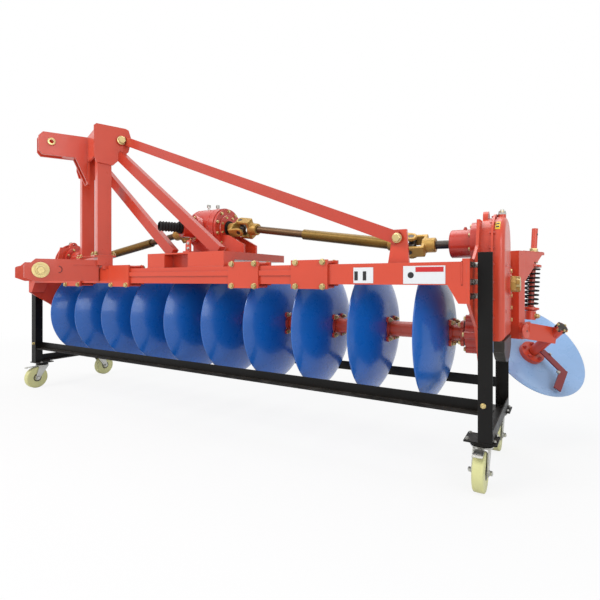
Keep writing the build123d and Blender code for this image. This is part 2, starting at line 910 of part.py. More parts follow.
with BuildPart() as drive_crosses:
    for centre, back, ahead, way, back_end in drive_joints:
        for arm in joint_arms(way):
            rod(along(centre, arm, -cross_span / 2 + 2.0), arm, cross_span - 4.0, cross_d)
        with Locations(at(*centre)):
            Sphere(cross_ball_d / 2)
drive_crosses.part.label = "drive_crosses"
export_step(drive_crosses.part, "parts/drive_crosses.step")

# Shaft ends that carry the outer forks
with BuildPart() as drive_stubs:
    for side in ends:
        stub_start = gearbox_x + side * flange_face
        fork_end = gearbox_x + side * (drive_joint_in - yoke_short_end)
        rod((stub_start, 0, gearbox_shaft_z), (side, 0, 0), abs(fork_end - stub_start), drive_stub_d)
        end_x = plate_x0 - input_housing_len
        fork_x = drive_joint_out + yoke_hub_end
        rod((side * end_x, 0, case_input_z), (-side, 0, 0), end_x - fork_x, spline_shaft_d)
drive_stubs.part.label = "drive_stubs"
export_step(drive_stubs.part, "parts/drive_stubs.step")

with BuildPart() as drive_outer_tubes:
    for side in ends:
        inner_joint, outer_joint, way, length = drive_points(side)
        start = along(inner_joint, way, outer_tube_from - abs(inner_joint[0]))
        bore_len = length - (outer_tube_from - abs(inner_joint[0])) - yoke_hub_end
        rod(start, way, bore_len, outer_tube_d)
        rod(start, way, bore_len, outer_tube_d - 2 * outer_tube_wall, mode=Mode.SUBTRACT)
drive_outer_tubes.part.label = "drive_outer_tubes"
export_step(drive_outer_tubes.part, "parts/drive_outer_tubes.step")

with BuildPart() as drive_inner_tubes:
    for side in ends:
        inner_joint, outer_joint, way, length = drive_points(side)
        rod(along(inner_joint, way, yoke_hub_end), way, length - 2 * yoke_hub_end, inner_tube_d)
drive_inner_tubes.part.label = "drive_inner_tubes"
export_step(drive_inner_tubes.part, "parts/drive_inner_tubes.step")

# Crossbar of the hitch, with pads on the beam and feet for the mast
mast_mid = (
    mast_near_x - across_x * mast_spread / 2,
    mast_near_y - across_y * mast_spread / 2,
)
mast_far = (mast_near_x - across_x * mast_spread, mast_near_y - across_y * mast_spread)
mast_feet = ((mast_near_x, mast_near_y), mast_far)
with BuildPart() as hitch_crossbar:
    hitch_block(
        (*mast_mid, crossbar_z0), crossbar_w, mast_spread + 2 * crossbar_overhang, crossbar_h
    )
    hitch_block((mast_near_x, mast_near_y, beam_top_z), 40.0, 150.0, hitch_pad_t)
    hitch_block(hitch_point(mast_near_x, mast_near_y, 0, -110.0, beam_top_z), 64.0, 60.0, hitch_pad_t)
    for x, y in mast_feet:
        hitch_block((x, y, crossbar_z1), 130.0, 112.0, mast_foot_t)
hitch_crossbar.part.label = "hitch_crossbar"
export_step(hitch_crossbar.part, "parts/hitch_crossbar.step")

# Uprights of the mast
upright_z0 = crossbar_z1 + mast_foot_t
upright_h = upright_top_z - upright_z0
with BuildPart() as mast_uprights:
    for x, y in mast_feet:
        hitch_block((x, y, upright_z0), upright_deep, upright_wide, upright_h)
        hitch_block(
            (x, y, upright_z0),
            upright_deep - 2 * upright_wall,
            upright_wide - 2 * upright_wall,
            upright_h - upright_wall,
            mode=Mode.SUBTRACT,
        )
mast_uprights.part.label = "mast_uprights"
export_step(mast_uprights.part, "parts/mast_uprights.step")

# Head of the mast: cross plate with the tongue under it
head_ahead = upright_deep / 2
ear_root = head_ahead + head_plate_t
ear_offset = (top_ear_gap + top_ear_t) / 2
with BuildPart() as mast_head:
    hitch_block(
        hitch_point(*mast_mid, head_ahead + head_plate_t / 2, 0, head_plate_z0),
        head_plate_t,
        mast_spread + upright_wide,
        head_plate_z1 - head_plate_z0,
    )
    hitch_block(
        hitch_point(*mast_mid, head_ahead + head_plate_t / 2, 0, head_plate_z0 - head_tongue_len),
        head_plate_t,
        top_ear_gap + 2 * top_ear_t + head_tongue_over,
        head_tongue_len,
    )
mast_head.part.label = "mast_head"
export_step(mast_head.part, "parts/mast_head.step")

# Boxed ears for the top link, with gussets below them
ear_z0 = top_pin_z - top_ear_below
ear_z1 = ear_z0 + top_ear_h
ear_tip = ear_root + top_ear_len
with BuildPart() as top_link_ears:
    for side in ends:
        origin = hitch_point(*mast_mid, 0, side * ear_offset, 0)
        hitch_plate(
            origin,
            top_ear_t,
            (
                (ear_root, head_plate_z0 + ear_root_rise),
                (ear_tip - 20.0, ear_z0),
                (ear_tip, ear_z0 + 24.0),
                (ear_tip, ear_z1 - 30.0),
                (ear_tip - 26.0, ear_z1),
                (ear_root, head_plate_z1 - 4.0),
            ),
        )
        hitch_plate(
            origin,
            top_ear_t,
            (
                (ear_root, head_plate_z0 + ear_root_rise),
                (ear_root, head_plate_z0 - head_tongue_len),
                (ear_root + ear_gusset_len, head_plate_z0 + ear_root_rise),
            ),
        )
        boss_start = hitch_point(
            *mast_mid, top_pin_ahead, side * (ear_offset + top_ear_t / 2), top_pin_z
        )
        rod(boss_start, (side * across_x, side * across_y, 0), top_boss_t, top_boss_d)
    for z in (ear_z0 + ear_tie_low, ear_z1 - ear_tie_high):
        hitch_block(
            hitch_point(*mast_mid, ear_root + ear_tie_len / 2, 0, z), ear_tie_len, top_ear_gap, ear_tie_t
        )
    rod(
        hitch_point(*mast_mid, top_pin_ahead, -top_ear_gap, top_pin_z),
        (across_x, across_y, 0),
        2 * top_ear_gap,
        top_pin_bore_d,
        mode=Mode.SUBTRACT,
    )
top_link_ears.part.label = "top_link_ears"
export_step(top_link_ears.part, "parts/top_link_ears.step")

# Shaped plates on the outer sides of both uprights
plate_shape = (
    (67.0, mast_plate_z0 + 60.0),
    (52.0, mast_plate_z0 + 8.0),
    (-50.0, mast_plate_z0),
    (-149.0, mast_plate_z0 + 104.0),
    (67.0 - mast_plate_len, mast_plate_z0 + 190.0),
    (-150.0, mast_plate_z1 - 8.0),
    (-130.0, mast_plate_z1),
    (52.0, mast_plate_z1),
    (67.0, mast_plate_z1 - 14.0),
)
with BuildPart() as mast_plates:
    for (x, y), side in zip(mast_feet, (1, -1)):
        reach = side * (upright_wide / 2 + mast_plate_t / 2)
        hitch_plate(hitch_point(x, y, 0, reach, 0), mast_plate_t, plate_shape)
mast_plates.part.label = "mast_plates"
export_step(mast_plates.part, "parts/mast_plates.step")

# Lower hitch arms and their pins
lower_pin_far = (
    lower_pin_near_x - across_x * lower_pin_spread,
    lower_pin_near_y - across_y * lower_pin_spread,
)
arm_z0 = lower_pin_z - arm_h / 2
arm_z1 = lower_pin_z + arm_h / 2
beam_reach_near = (beam_front_y - lower_pin_near_y) / -ahead_y
beam_reach_far = (beam_front_y - lower_pin_far[1]) / -ahead_y
arm_weld_gap = arm_t / 2 * tan(radians(travel_angle)) + 0.3
crossbar_reach = (
    (mast_near_x - lower_pin_near_x) * -ahead_x
    + (mast_near_y - lower_pin_near_y) * -ahead_y
    - crossbar_w / 2
)
nose = (
    (arm_nose, lower_pin_z - arm_nose_h / 2 - 8.0),
    (arm_nose, lower_pin_z + arm_nose_h / 2 - 8.0),
    (arm_nose - 12.0, lower_pin_z + arm_nose_h / 2),
    (arm_nose - 34.0, lower_pin_z + arm_nose_h / 2 + 6.0),
    (arm_nose - 60.0, arm_z1),
)
near_arm_foot = (
    (-crossbar_reach, arm_z1),
    (-crossbar_reach, crossbar_z0 - 1.0),
    (-beam_reach_near + arm_weld_gap, crossbar_z0 - 1.0),
    (-beam_reach_near + arm_weld_gap, arm_z0),
)
far_arm_foot = (
    (-beam_reach_far - 90.0, arm_z1),
    (-beam_reach_far - 90.0, beam_top_z),
    (-beam_reach_far + arm_weld_gap, beam_top_z),
    (-beam_reach_far + arm_weld_gap, arm_z0),
)
lower_pin_near = (lower_pin_near_x, lower_pin_near_y)
with BuildPart() as hitch_arms:
    for (x, y), foot in ((lower_pin_near, near_arm_foot), (lower_pin_far, far_arm_foot)):
        hitch_plate((x, y, 0), arm_t, (*nose, *foot, (arm_nose - 60.0, arm_z0)))
        rod(
            hitch_point(x, y, 0, -arm_t, lower_pin_z),
            (across_x, across_y, 0),
            2 * arm_t,
            lower_shank_d,
            mode=Mode.SUBTRACT,
        )
hitch_arms.part.label = "hitch_arms"
export_step(hitch_arms.part, "parts/hitch_arms.step")

with BuildPart() as lower_hitch_pins:
    for (x, y), side in ((lower_pin_near, 1), (lower_pin_far, -1)):
        outward = (side * across_x, side * across_y, 0)
        inward = (-side * across_x, -side * across_y, 0)
        face = hitch_point(x, y, 0, side * arm_t / 2, lower_pin_z)
        rod(face, outward, lower_washer_t, lower_washer_d)
        rod(face, outward, lower_washer_t + lower_head_t, lower_head_d)
        rod(face, inward, arm_t + lower_pin_len, lower_pin_d)
        rod(face, inward, arm_t, lower_shank_d)
lower_hitch_pins.part.label = "lower_hitch_pins"
export_step(lower_hitch_pins.part, "parts/lower_hitch_pins.step")

# Long flat brace from the mast plate to the lug near the right end of the beam
plate_out = upright_wide / 2 + mast_plate_t
brace_foot = (long_brace_foot_x, beam_front_y + 40.0, long_brace_foot_z)
brace_top = hitch_point(
    mast_near_x, mast_near_y, -long_brace_set_back, plate_out + long_brace_t + 2.0, long_brace_top_z
)
with BuildPart() as brace_long:
    bar_between(brace_top, brace_foot, long_brace_h, long_brace_t)
    hitch_plate(
        hitch_point(
            mast_near_x, mast_near_y, -long_brace_set_back, plate_out + long_brace_t / 2, 0
        ),
        long_brace_t,
        (
            (brace_eye_front, long_brace_top_z - long_brace_h / 2),
            (brace_eye_front, long_brace_top_z + long_brace_h / 2),
            (-brace_eye_rear, long_brace_top_z + long_brace_h / 2),
            (-brace_eye_rear, long_brace_top_z - long_brace_h / 2),
        ),
    )
    hitch_block(
        hitch_point(
            mast_near_x, mast_near_y, -long_brace_set_back, plate_out - 60.0, long_brace_top_z - 120.0
        ),
        400.0,
        120.0,
        300.0,
        mode=Mode.SUBTRACT,
    )
    rod(brace_foot, (0, 1, 0), 34.0, brace_bolt_d)
brace_long.part.label = "brace_long"
export_step(brace_long.part, "parts/brace_long.step")

# Diagonal braces that land on the gearbox platform
near_foot = (
    platform_right_x1 - near_brace_foot_in,
    beam_front_y + beam_depth / 2,
    platform_top_z,
)
far_foot = (platform_left_x0 + far_brace_foot_in, beam_rear_y - 10.0, platform_top_z)
near_brace_xy = hitch_point(mast_near_x, mast_near_y, -near_brace_set_back, upright_wide / 2, 0)
near_brace_run = sqrt((near_foot[0] - near_brace_xy[0]) ** 2 + (near_foot[1] - near_brace_xy[1]) ** 2)
near_brace_top_z = platform_top_z + near_brace_slope * near_brace_run
with BuildPart() as brace_near:
    top = along(near_brace_xy, (0, 0, 1), near_brace_top_z)
    bar_between(top, near_foot, tube_brace_w, tube_brace_t)
    hitch_block(
        hitch_point(
            mast_near_x,
            mast_near_y,
            -near_brace_set_back,
            plate_out - 100.0,
            near_brace_top_z - 200.0,
        ),
        400.0,
        200.0,
        400.0,
        mode=Mode.SUBTRACT,
    )
    block(
        near_foot[0] - 100.0,
        near_foot[0] + 100.0,
        near_foot[1] - 100.0,
        near_foot[1] + 100.0,
        platform_top_z - 100.0,
        platform_top_z,
        mode=Mode.SUBTRACT,
    )
brace_near.part.label = "brace_near"
export_step(brace_near.part, "parts/brace_near.step")

with BuildPart() as brace_far:
    top = hitch_point(*mast_far, -10.0, 0, far_brace_top_z)
    bar_between(top, far_foot, tube_brace_w, tube_brace_t)
    hitch_block(
        hitch_point(*mast_far, 0, upright_wide / 2 - 100.0, far_brace_top_z - 200.0),
        400.0,
        200.0,
        400.0,
        mode=Mode.SUBTRACT,
    )
    block(
        far_foot[0] - 100.0,
        far_foot[0] + 100.0,
        far_foot[1] - 100.0,
        far_foot[1] + 100.0,
        platform_top_z - 100.0,
        platform_top_z,
        mode=Mode.SUBTRACT,
    )
brace_far.part.label = "brace_far"
export_step(brace_far.part, "parts/brace_far.step")

# Lug on the beam for the foot of the long brace
with BuildPart() as brace_lug:
    lug_y0 = brace_foot[1] + long_brace_t / 2 + 3.0
    lug_plane = Plane(origin=at(0, lug_y0, 0), x_dir=(1, 0, 0), z_dir=(0, -1, 0))
    with BuildSketch(lug_plane) as outline:
        Polygon(
            (long_brace_foot_x - lug_len / 2, beam_top_z),
            (long_brace_foot_x + lug_len / 2, beam_top_z),
            (long_brace_foot_x + lug_len / 2 - 10.0, beam_top_z + lug_h),
            (long_brace_foot_x - lug_len / 2 + 24.0, beam_top_z + lug_h),
            align=None,
        )
    extrude(outline.sketch, amount=-lug_t)
    rod(brace_foot, (0, 1, 0), 80.0, brace_bolt_d, mode=Mode.SUBTRACT)
brace_lug.part.label = "brace_lug"
export_step(brace_lug.part, "parts/brace_lug.step")

# Post of the furrow wheel with its ears and top arm
with BuildPart() as tail_post:
    hitch_block(
        (tail_post_x, tail_post_y, tail_post_z0), tail_post_w, tail_post_w, tail_post_z1 - tail_post_z0
    )
    ear_x0 = post_outer_x + tail_ear_gap
    block(
        ear_x0, ear_x0 + tail_ear_t, case_half_rear, tail_post_y - 20.0, tail_ear_z0, tail_ear_z1
    )
    hitch_block(
        hitch_point(
            tail_post_x,
            tail_post_y,
            -(tail_post_w / 2 + tail_arm_len / 2) + 4.0,
            0,
            tail_post_z1 - tail_arm_t,
        ),
        tail_arm_len,
        tail_arm_w,
        tail_arm_t,
    )
    for offset in (-tail_arm_w / 2 + 4.0, tail_arm_w / 2 - 4.0):
        hitch_plate(
            hitch_point(tail_post_x, tail_post_y, 0, offset, 0),
            8.0,
            (
                (-tail_post_w / 2 + 4.0, tail_post_z1 - tail_arm_t),
                (-tail_post_w / 2 - tail_arm_len + 30.0, tail_post_z1 - tail_arm_t),
                (-tail_post_w / 2 + 4.0, tail_post_z1 - tail_gusset_h),
            ),
        )
    rod_foot = hitch_point(tail_post_x, tail_post_y, -rod_foot_back, 0, rod_foot_z)
    rod_top = hitch_point(tail_post_x, tail_post_y, -rod_top_back, 0, rod_top_z)
    rod_run = Vector(*rod_top) - Vector(*rod_foot)
    rod_way = tuple(rod_run.normalized())
    rod(rod_foot, rod_way, rod_run.length, rod_d + 2.0, mode=Mode.SUBTRACT)
    rod(along(rod_foot, rod_way, 30.0), rod_way, 245.0, spring_d + 14.0, mode=Mode.SUBTRACT)
tail_post.part.label = "tail_post"
export_step(tail_post.part, "parts/tail_post.step")

# Spring rod with its seats and clevis
with BuildPart() as tail_spring_rod:
    rod(rod_foot, rod_way, rod_run.length, rod_d)
    spring_low = (spring_bottom_z - rod_foot[2]) / rod_way[2]
    spring_high = (spring_top_z - rod_foot[2]) / rod_way[2]
    for height in (spring_low - spring_seat_t, spring_high):
        rod(along(rod_foot, rod_way, height), rod_way, spring_seat_t, spring_d + 8.0)
    rod(along(rod_foot, rod_way, -clevis_drop), rod_way, clevis_len, clevis_w)
tail_spring_rod.part.label = "tail_spring_rod"
export_step(tail_spring_rod.part, "parts/tail_spring_rod.step")

# Coil spring around the rod
with BuildPart() as tail_spring:
    coil_start = along(rod_foot, rod_way, spring_low + spring_wire / 2 + 0.3)
    coil_height = spring_high - spring_low - spring_wire - 0.6
    coil_r = (spring_d - spring_wire) / 2
    with BuildLine() as coil_path:
        Helix(
            pitch=coil_height / spring_turns,
            height=coil_height,
            radius=coil_r,
            center=at(*coil_start),
            direction=rod_way,
        )
    with BuildSketch(Plane(origin=coil_path.line @ 0, z_dir=coil_path.line % 0)) as wire:
        Circle(spring_wire / 2)
    sweep(wire.sketch, path=coil_path.line, is_frenet=True)
tail_spring.part.label = "tail_spring"
export_step(tail_spring.part, "parts/tail_spring.step")

# Furrow wheel: places on its inclined axis, measured from the back of the hub
hub_back = along((tail_disc_x, tail_disc_y, tail_disc_z), wheel_axis, -tail_disc_dish)
hub_start = tail_disc_t
hub_end = hub_start + tail_hub_t
tube_start = hub_end + spindle_gap
arm_meet = along(hub_back, wheel_axis, 190.0)

# Swing arm from the foot of the post to the spindle tube
with BuildPart() as tail_swing_arm:
    pivot = (tail_post_x, tail_post_y, swing_pivot_z)
    arm_start = hitch_point(tail_post_x, tail_post_y, -tail_post_w / 2 - 6.0, 0, swing_pivot_z)
    arm_end = (arm_meet[0], arm_meet[1], arm_meet[2] + 6.0)
    bar_between(arm_start, arm_end, swing_w, swing_h, side=(0, 0, 1))
    cheek_reach = tail_post_w / 2 + 5.0
    hitch_plate(
        hitch_point(tail_post_x, tail_post_y, 0, cheek_reach, 0),
        10.0,
        (
            (34.0, swing_pivot_z - 10.0),
            (30.0, swing_pivot_z + 24.0),
            (10.0, swing_pivot_z + swing_h / 2),
            (-70.0, swing_pivot_z + swing_h / 2),
            (-70.0, swing_pivot_z - swing_h / 2),
            (10.0, swing_pivot_z - swing_h / 2),
        ),
    )
    boss_start = hitch_point(tail_post_x, tail_post_y, 0, cheek_reach + 5.0, swing_pivot_z)
    rod(boss_start, (across_x, across_y, 0), 10.0, swing_boss_d)
    rod(
        along(hub_back, wheel_axis, tube_start),
        wheel_axis,
        spindle_len,
        spindle_tube_d,
    )
    rod(
        along(hub_back, wheel_axis, tube_start + spindle_len),
        wheel_axis,
        spindle_cap_len,
        spindle_cap_d,
    )
    rod(along(hub_back, wheel_axis, -2.0), wheel_axis, tube_start + 4.0, spindle_d)
    hitch_block(
        (tail_post_x, tail_post_y, tail_post_z0 - 60.0),
        tail_post_w + 0.6,
        tail_post_w,
        tail_post_z1,
        mode=Mode.SUBTRACT,
    )
    rod(along(rod_foot, rod_way, -clevis_drop), rod_way, 120.0, clevis_w, mode=Mode.SUBTRACT)
tail_swing_arm.part.label = "tail_swing_arm"
export_step(tail_swing_arm.part, "parts/tail_swing_arm.step")

# Hub and dished disc that turn on the spindle
with BuildPart() as tail_hub:
    rod(along(hub_back, wheel_axis, hub_start), wheel_axis, tail_hub_t, tail_hub_d)
    rod(
        along(hub_back, wheel_axis, hub_start),
        wheel_axis,
        tail_hub_t,
        spindle_d + 2 * bearing_clearance,
        mode=Mode.SUBTRACT,
    )
tail_hub.part.label = "tail_hub"
export_step(tail_hub.part, "parts/tail_hub.step")

wheel_plane = Plane(
    origin=at(tail_disc_x, tail_disc_y, tail_disc_z),
    x_dir=(0.0, wheel_axis[2], -wheel_axis[1]),
    z_dir=tuple(-w for w in wheel_axis),
)
with BuildPart() as tail_disc:
    dished_disc(wheel_plane, tail_disc_d, tail_disc_dish, tail_disc_t, tail_hub_d + 8.0, 60.0)
tail_disc.part.label = "tail_disc"
export_step(tail_disc.part, "parts/tail_disc.step")

# Scraper that hangs from the spindle tube over the hollow side of the disc
scraper_out = (0.696, -0.111, -0.710)
scraper_turn = (-0.189, -0.828, -0.533)
scraper_height = 78.0
scraper_w = 38.0
scraper_t = 8.0
with BuildPart() as tail_scraper:
    root = along(hub_back, wheel_axis, scraper_height)
    elbow = along(root, scraper_out, 170.0)
    tip = along(along(elbow, scraper_turn, 132.0), wheel_axis, -6.0)
    bar_between(along(root, scraper_out, spindle_tube_d / 2), elbow, scraper_t, scraper_w, side=tuple(
        Vector(*wheel_axis).cross(Vector(*scraper_out))
    ))
    bar_between(along(elbow, scraper_turn, -16.0), tip, scraper_t, scraper_w, side=tuple(
        Vector(*wheel_axis).cross(Vector(*scraper_turn))
    ))
    rod(
        along(hub_back, wheel_axis, scraper_height - 20.0),
        wheel_axis,
        60.0,
        spindle_tube_d,
        mode=Mode.SUBTRACT,
    )
tail_scraper.part.label = "tail_scraper"
export_step(tail_scraper.part, "parts/tail_scraper.step")

# Posts of the trolley, one angle at each corner
corners = (
    (-1, -1, "near_left"),
    (1, -1, "near_right"),
    (-1, 1, "far_left"),
    (1, 1, "far_right"),
)
with BuildPart() as post_spacers:
    for side in ends:
        for z in post_spacer_zs:
            rod((side * plate_x1, post_spacer_y, z), (side, 0, 0), post_gap, post_spacer_d)
post_spacers.part.label = "post_spacers"
export_step(post_spacers.part, "parts/post_spacers.step")

with BuildPart() as trolley_posts:
    for side, row, place in corners:
        for dx0, dx1, dy0, dy1 in (
            (0, post_w, post_w - angle_t, post_w),
            (0, angle_t, 0, post_w - angle_t),
        ):
            xs = sorted((side * (post_inner_x + dx0), side * (post_inner_x + dx1)))
            ys = sorted((row * (rail_inner_y + dy0), row * (rail_inner_y + dy1)))
            block(*xs, *ys, caster_height, post_top_z)
trolley_posts.part.label = "trolley_posts"
export_step(trolley_posts.part, "parts/trolley_posts.step")

# Rails along both sides and sills across both ends
with BuildPart() as trolley_rails:
    for row in ends:
        upright_ys = sorted((row * rail_inner_y, row * (rail_inner_y + angle_t)))
        foot_ys = sorted((row * rail_inner_y, row * rail_outer_y))
        block(-post_inner_x, post_inner_x, *upright_ys, rail_z0, rail_z0 + angle_w)
        block(-post_inner_x, post_inner_x, *foot_ys, rail_z0, rail_z0 + angle_t)
trolley_rails.part.label = "trolley_rails"
export_step(trolley_rails.part, "parts/trolley_rails.step")

with BuildPart() as trolley_sills:
    for side in ends:
        foot_xs = sorted((side * (post_inner_x + angle_t), side * post_outer_x))
        wall_xs = sorted((side * (post_outer_x - angle_t), side * post_outer_x))
        block(*foot_xs, -rail_outer_y, rail_outer_y, caster_height, caster_height + angle_t)
        block(*wall_xs, -rail_outer_y, rail_outer_y, caster_height, caster_height + angle_w)
trolley_sills.part.label = "trolley_sills"
export_step(trolley_sills.part, "parts/trolley_sills.step")

# Caster mounts: plate, upper race and kingpin at each corner
fork_top_z = caster_height - caster_plate_t - caster_race_t - caster_race_gap
fork_plate_t = 6.0
fork_plate_z0 = fork_top_z - fork_plate_t
pin_head_t = 4.0
pin_head_d = 28.0
with BuildPart() as caster_mounts:
    for side, row, place in corners:
        x = side * caster_x
        y = row * caster_y
        plate_z0 = caster_height - caster_plate_t
        block(
            x - caster_plate_x / 2,
            x + caster_plate_x / 2,
            y - caster_plate_y / 2,
            y + caster_plate_y / 2,
            plate_z0,
            caster_height,
        )
        rod((x, y, plate_z0), (0, 0, -1), caster_race_t, caster_race_d)
        head_top = fork_plate_z0 - hub_clearance
        rod((x, y, plate_z0), (0, 0, -1), plate_z0 - head_top, kingpin_d)
        rod((x, y, head_top), (0, 0, -1), pin_head_t, pin_head_d)
caster_mounts.part.label = "caster_mounts"
export_step(caster_mounts.part, "parts/caster_mounts.step")

# Forks and wheels of the casters, each trailing its kingpin
wheel_r = caster_wheel_d / 2
leg_y_half = 36.0
for side, row, place in corners:
    trail = caster_trail if place == "far_left" else -caster_trail
    x = side * caster_x
    y = row * caster_y
    with BuildPart() as caster_fork:
        rod((x, y, fork_plate_z0), (0, 0, 1), fork_plate_t, caster_race_d)
        leg_inner = caster_wheel_w / 2 + caster_leg_gap
        for hand in ends:
            leg_x0 = x + leg_inner if hand > 0 else x - leg_inner - caster_leg_t
            side_plane = Plane(origin=at(leg_x0, y, 0), x_dir=(0, 1, 0), z_dir=(1, 0, 0))
            with BuildSketch(side_plane) as outline:
                with BuildLine():
                    Polyline(
                        (trail - 18.0, wheel_r),
                        (-leg_y_half, fork_plate_z0),
                        (leg_y_half, fork_plate_z0),
                        (trail + 18.0, wheel_r),
                    )
                    ThreePointArc(
                        (trail + 18.0, wheel_r),
                        (trail, wheel_r - 18.0),
                        (trail - 18.0, wheel_r),
                    )
                make_face()
            extrude(outline.sketch, amount=caster_leg_t)
        axle_half_len = leg_inner + caster_leg_t + 6.0
        rod((x - axle_half_len, y + trail, wheel_r), (1, 0, 0), 2 * axle_half_len, caster_axle_d)
        rod(
            (x, y, fork_plate_z0 - 10.0),
            (0, 0, 1),
            fork_plate_t + 20.0,
            kingpin_d + 2 * wheel_clearance,
            mode=Mode.SUBTRACT,
        )
    caster_fork.part.label = f"caster_fork_{place}"
    export_step(caster_fork.part, f"parts/caster_fork_{place}.step")

    with BuildPart() as caster_wheel:
        rod((x - caster_wheel_w / 2, y + trail, wheel_r), (1, 0, 0), caster_wheel_w, caster_wheel_d)
        fillet(caster_wheel.edges().filter_by(GeomType.CIRCLE), radius=7.0)
        rod(
            (x - caster_wheel_w / 2, y + trail, wheel_r),
            (1, 0, 0),
            caster_wheel_w,
            caster_axle_d + 2 * wheel_clearance,
            mode=Mode.SUBTRACT,
        )
    caster_wheel.part.label = f"caster_wheel_{place}"
    export_step(caster_wheel.part, f"parts/caster_wheel_{place}.step")
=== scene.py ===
"""Looks for the mounted driven disc harrow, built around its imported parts.

Places of the added pieces are in millimetres: x and y from the middle of the gang axle, z
from the floor.
"""

from math import cos, pi, radians, sin, sqrt

import bpy
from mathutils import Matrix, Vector


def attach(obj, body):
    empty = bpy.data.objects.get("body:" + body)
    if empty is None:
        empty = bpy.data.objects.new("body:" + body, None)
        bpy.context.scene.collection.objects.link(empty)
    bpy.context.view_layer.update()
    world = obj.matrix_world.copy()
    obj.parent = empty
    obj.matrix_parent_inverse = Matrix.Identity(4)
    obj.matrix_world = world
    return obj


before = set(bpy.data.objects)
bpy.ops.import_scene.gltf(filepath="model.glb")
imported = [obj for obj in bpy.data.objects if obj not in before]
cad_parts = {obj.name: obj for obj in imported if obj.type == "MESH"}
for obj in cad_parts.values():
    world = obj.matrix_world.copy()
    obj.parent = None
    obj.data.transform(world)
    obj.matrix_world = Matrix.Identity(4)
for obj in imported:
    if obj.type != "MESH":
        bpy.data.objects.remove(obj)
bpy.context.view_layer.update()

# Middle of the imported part's footprint, which is the origin of the frame
FOOTPRINT = Vector((133.37, 47.02, 0.0))
# The hitch is turned by this much against the gang
TRAVEL = radians(22.0)
AHEAD = Vector((-sin(TRAVEL), -cos(TRAVEL), 0.0))
ACROSS = Vector((cos(TRAVEL), -sin(TRAVEL), 0.0))
X = Vector((1.0, 0.0, 0.0))
Y = Vector((0.0, 1.0, 0.0))
Z = Vector((0.0, 0.0, 1.0))
ENDS = (-1, 1)


def hitch(x, y, ahead, across, z):
    """Point at a height, set out along and across the travel direction from x and y."""
    return Vector((x, y, 0.0)) + AHEAD * ahead + ACROSS * across + Z * z


# Materials
def ranged(tree, source, low, high, to_low, to_high):
    """Map Range node fed by a socket."""
    made = tree.nodes.new("ShaderNodeMapRange")
    made.clamp = True
    tree.links.new(source, made.inputs["Value"])
    for name, value in (
        ("From Min", low),
        ("From Max", high),
        ("To Min", to_low),
        ("To Max", to_high),
    ):
        made.inputs[name].default_value = value
    return made.outputs["Result"]


def combined(tree, one, two, operation="MULTIPLY"):
    """Product, or the result of another operation, of two sockets or numbers."""
    made = tree.nodes.new("ShaderNodeMath")
    made.operation = operation
    made.use_clamp = True
    for slot, value in zip(made.inputs, (one, two)):
        if isinstance(value, (int, float)):
            slot.default_value = value
        else:
            tree.links.new(value, slot)
    return made.outputs["Value"]


def mixed(tree, factor, one, two):
    """Colour mix of two sockets or colours."""
    made = tree.nodes.new("ShaderNodeMix")
    made.data_type = "RGBA"
    tree.links.new(factor, made.inputs["Factor"])
    for slot, value in ((made.inputs["A"], one), (made.inputs["B"], two)):
        if isinstance(value, tuple):
            slot.default_value = (*value, 1.0)
        else:
            tree.links.new(value, slot)
    return made.outputs["Result"]


def srgb(red, green, blue):
    """Linear colour of an 8-bit display colour."""
    values = []
    for level in (red, green, blue):
        part = level / 255.0
        values.append(part / 12.92 if part <= 0.04045 else ((part + 0.055) / 1.055) ** 2.4)
    return tuple(values)


STEEL = (0.42, 0.41, 0.39)
DUST = (0.46, 0.42, 0.37)
COAT_ROUGHNESS = 0.08
EDGE_SAMPLES = 4
FINISHES = {}


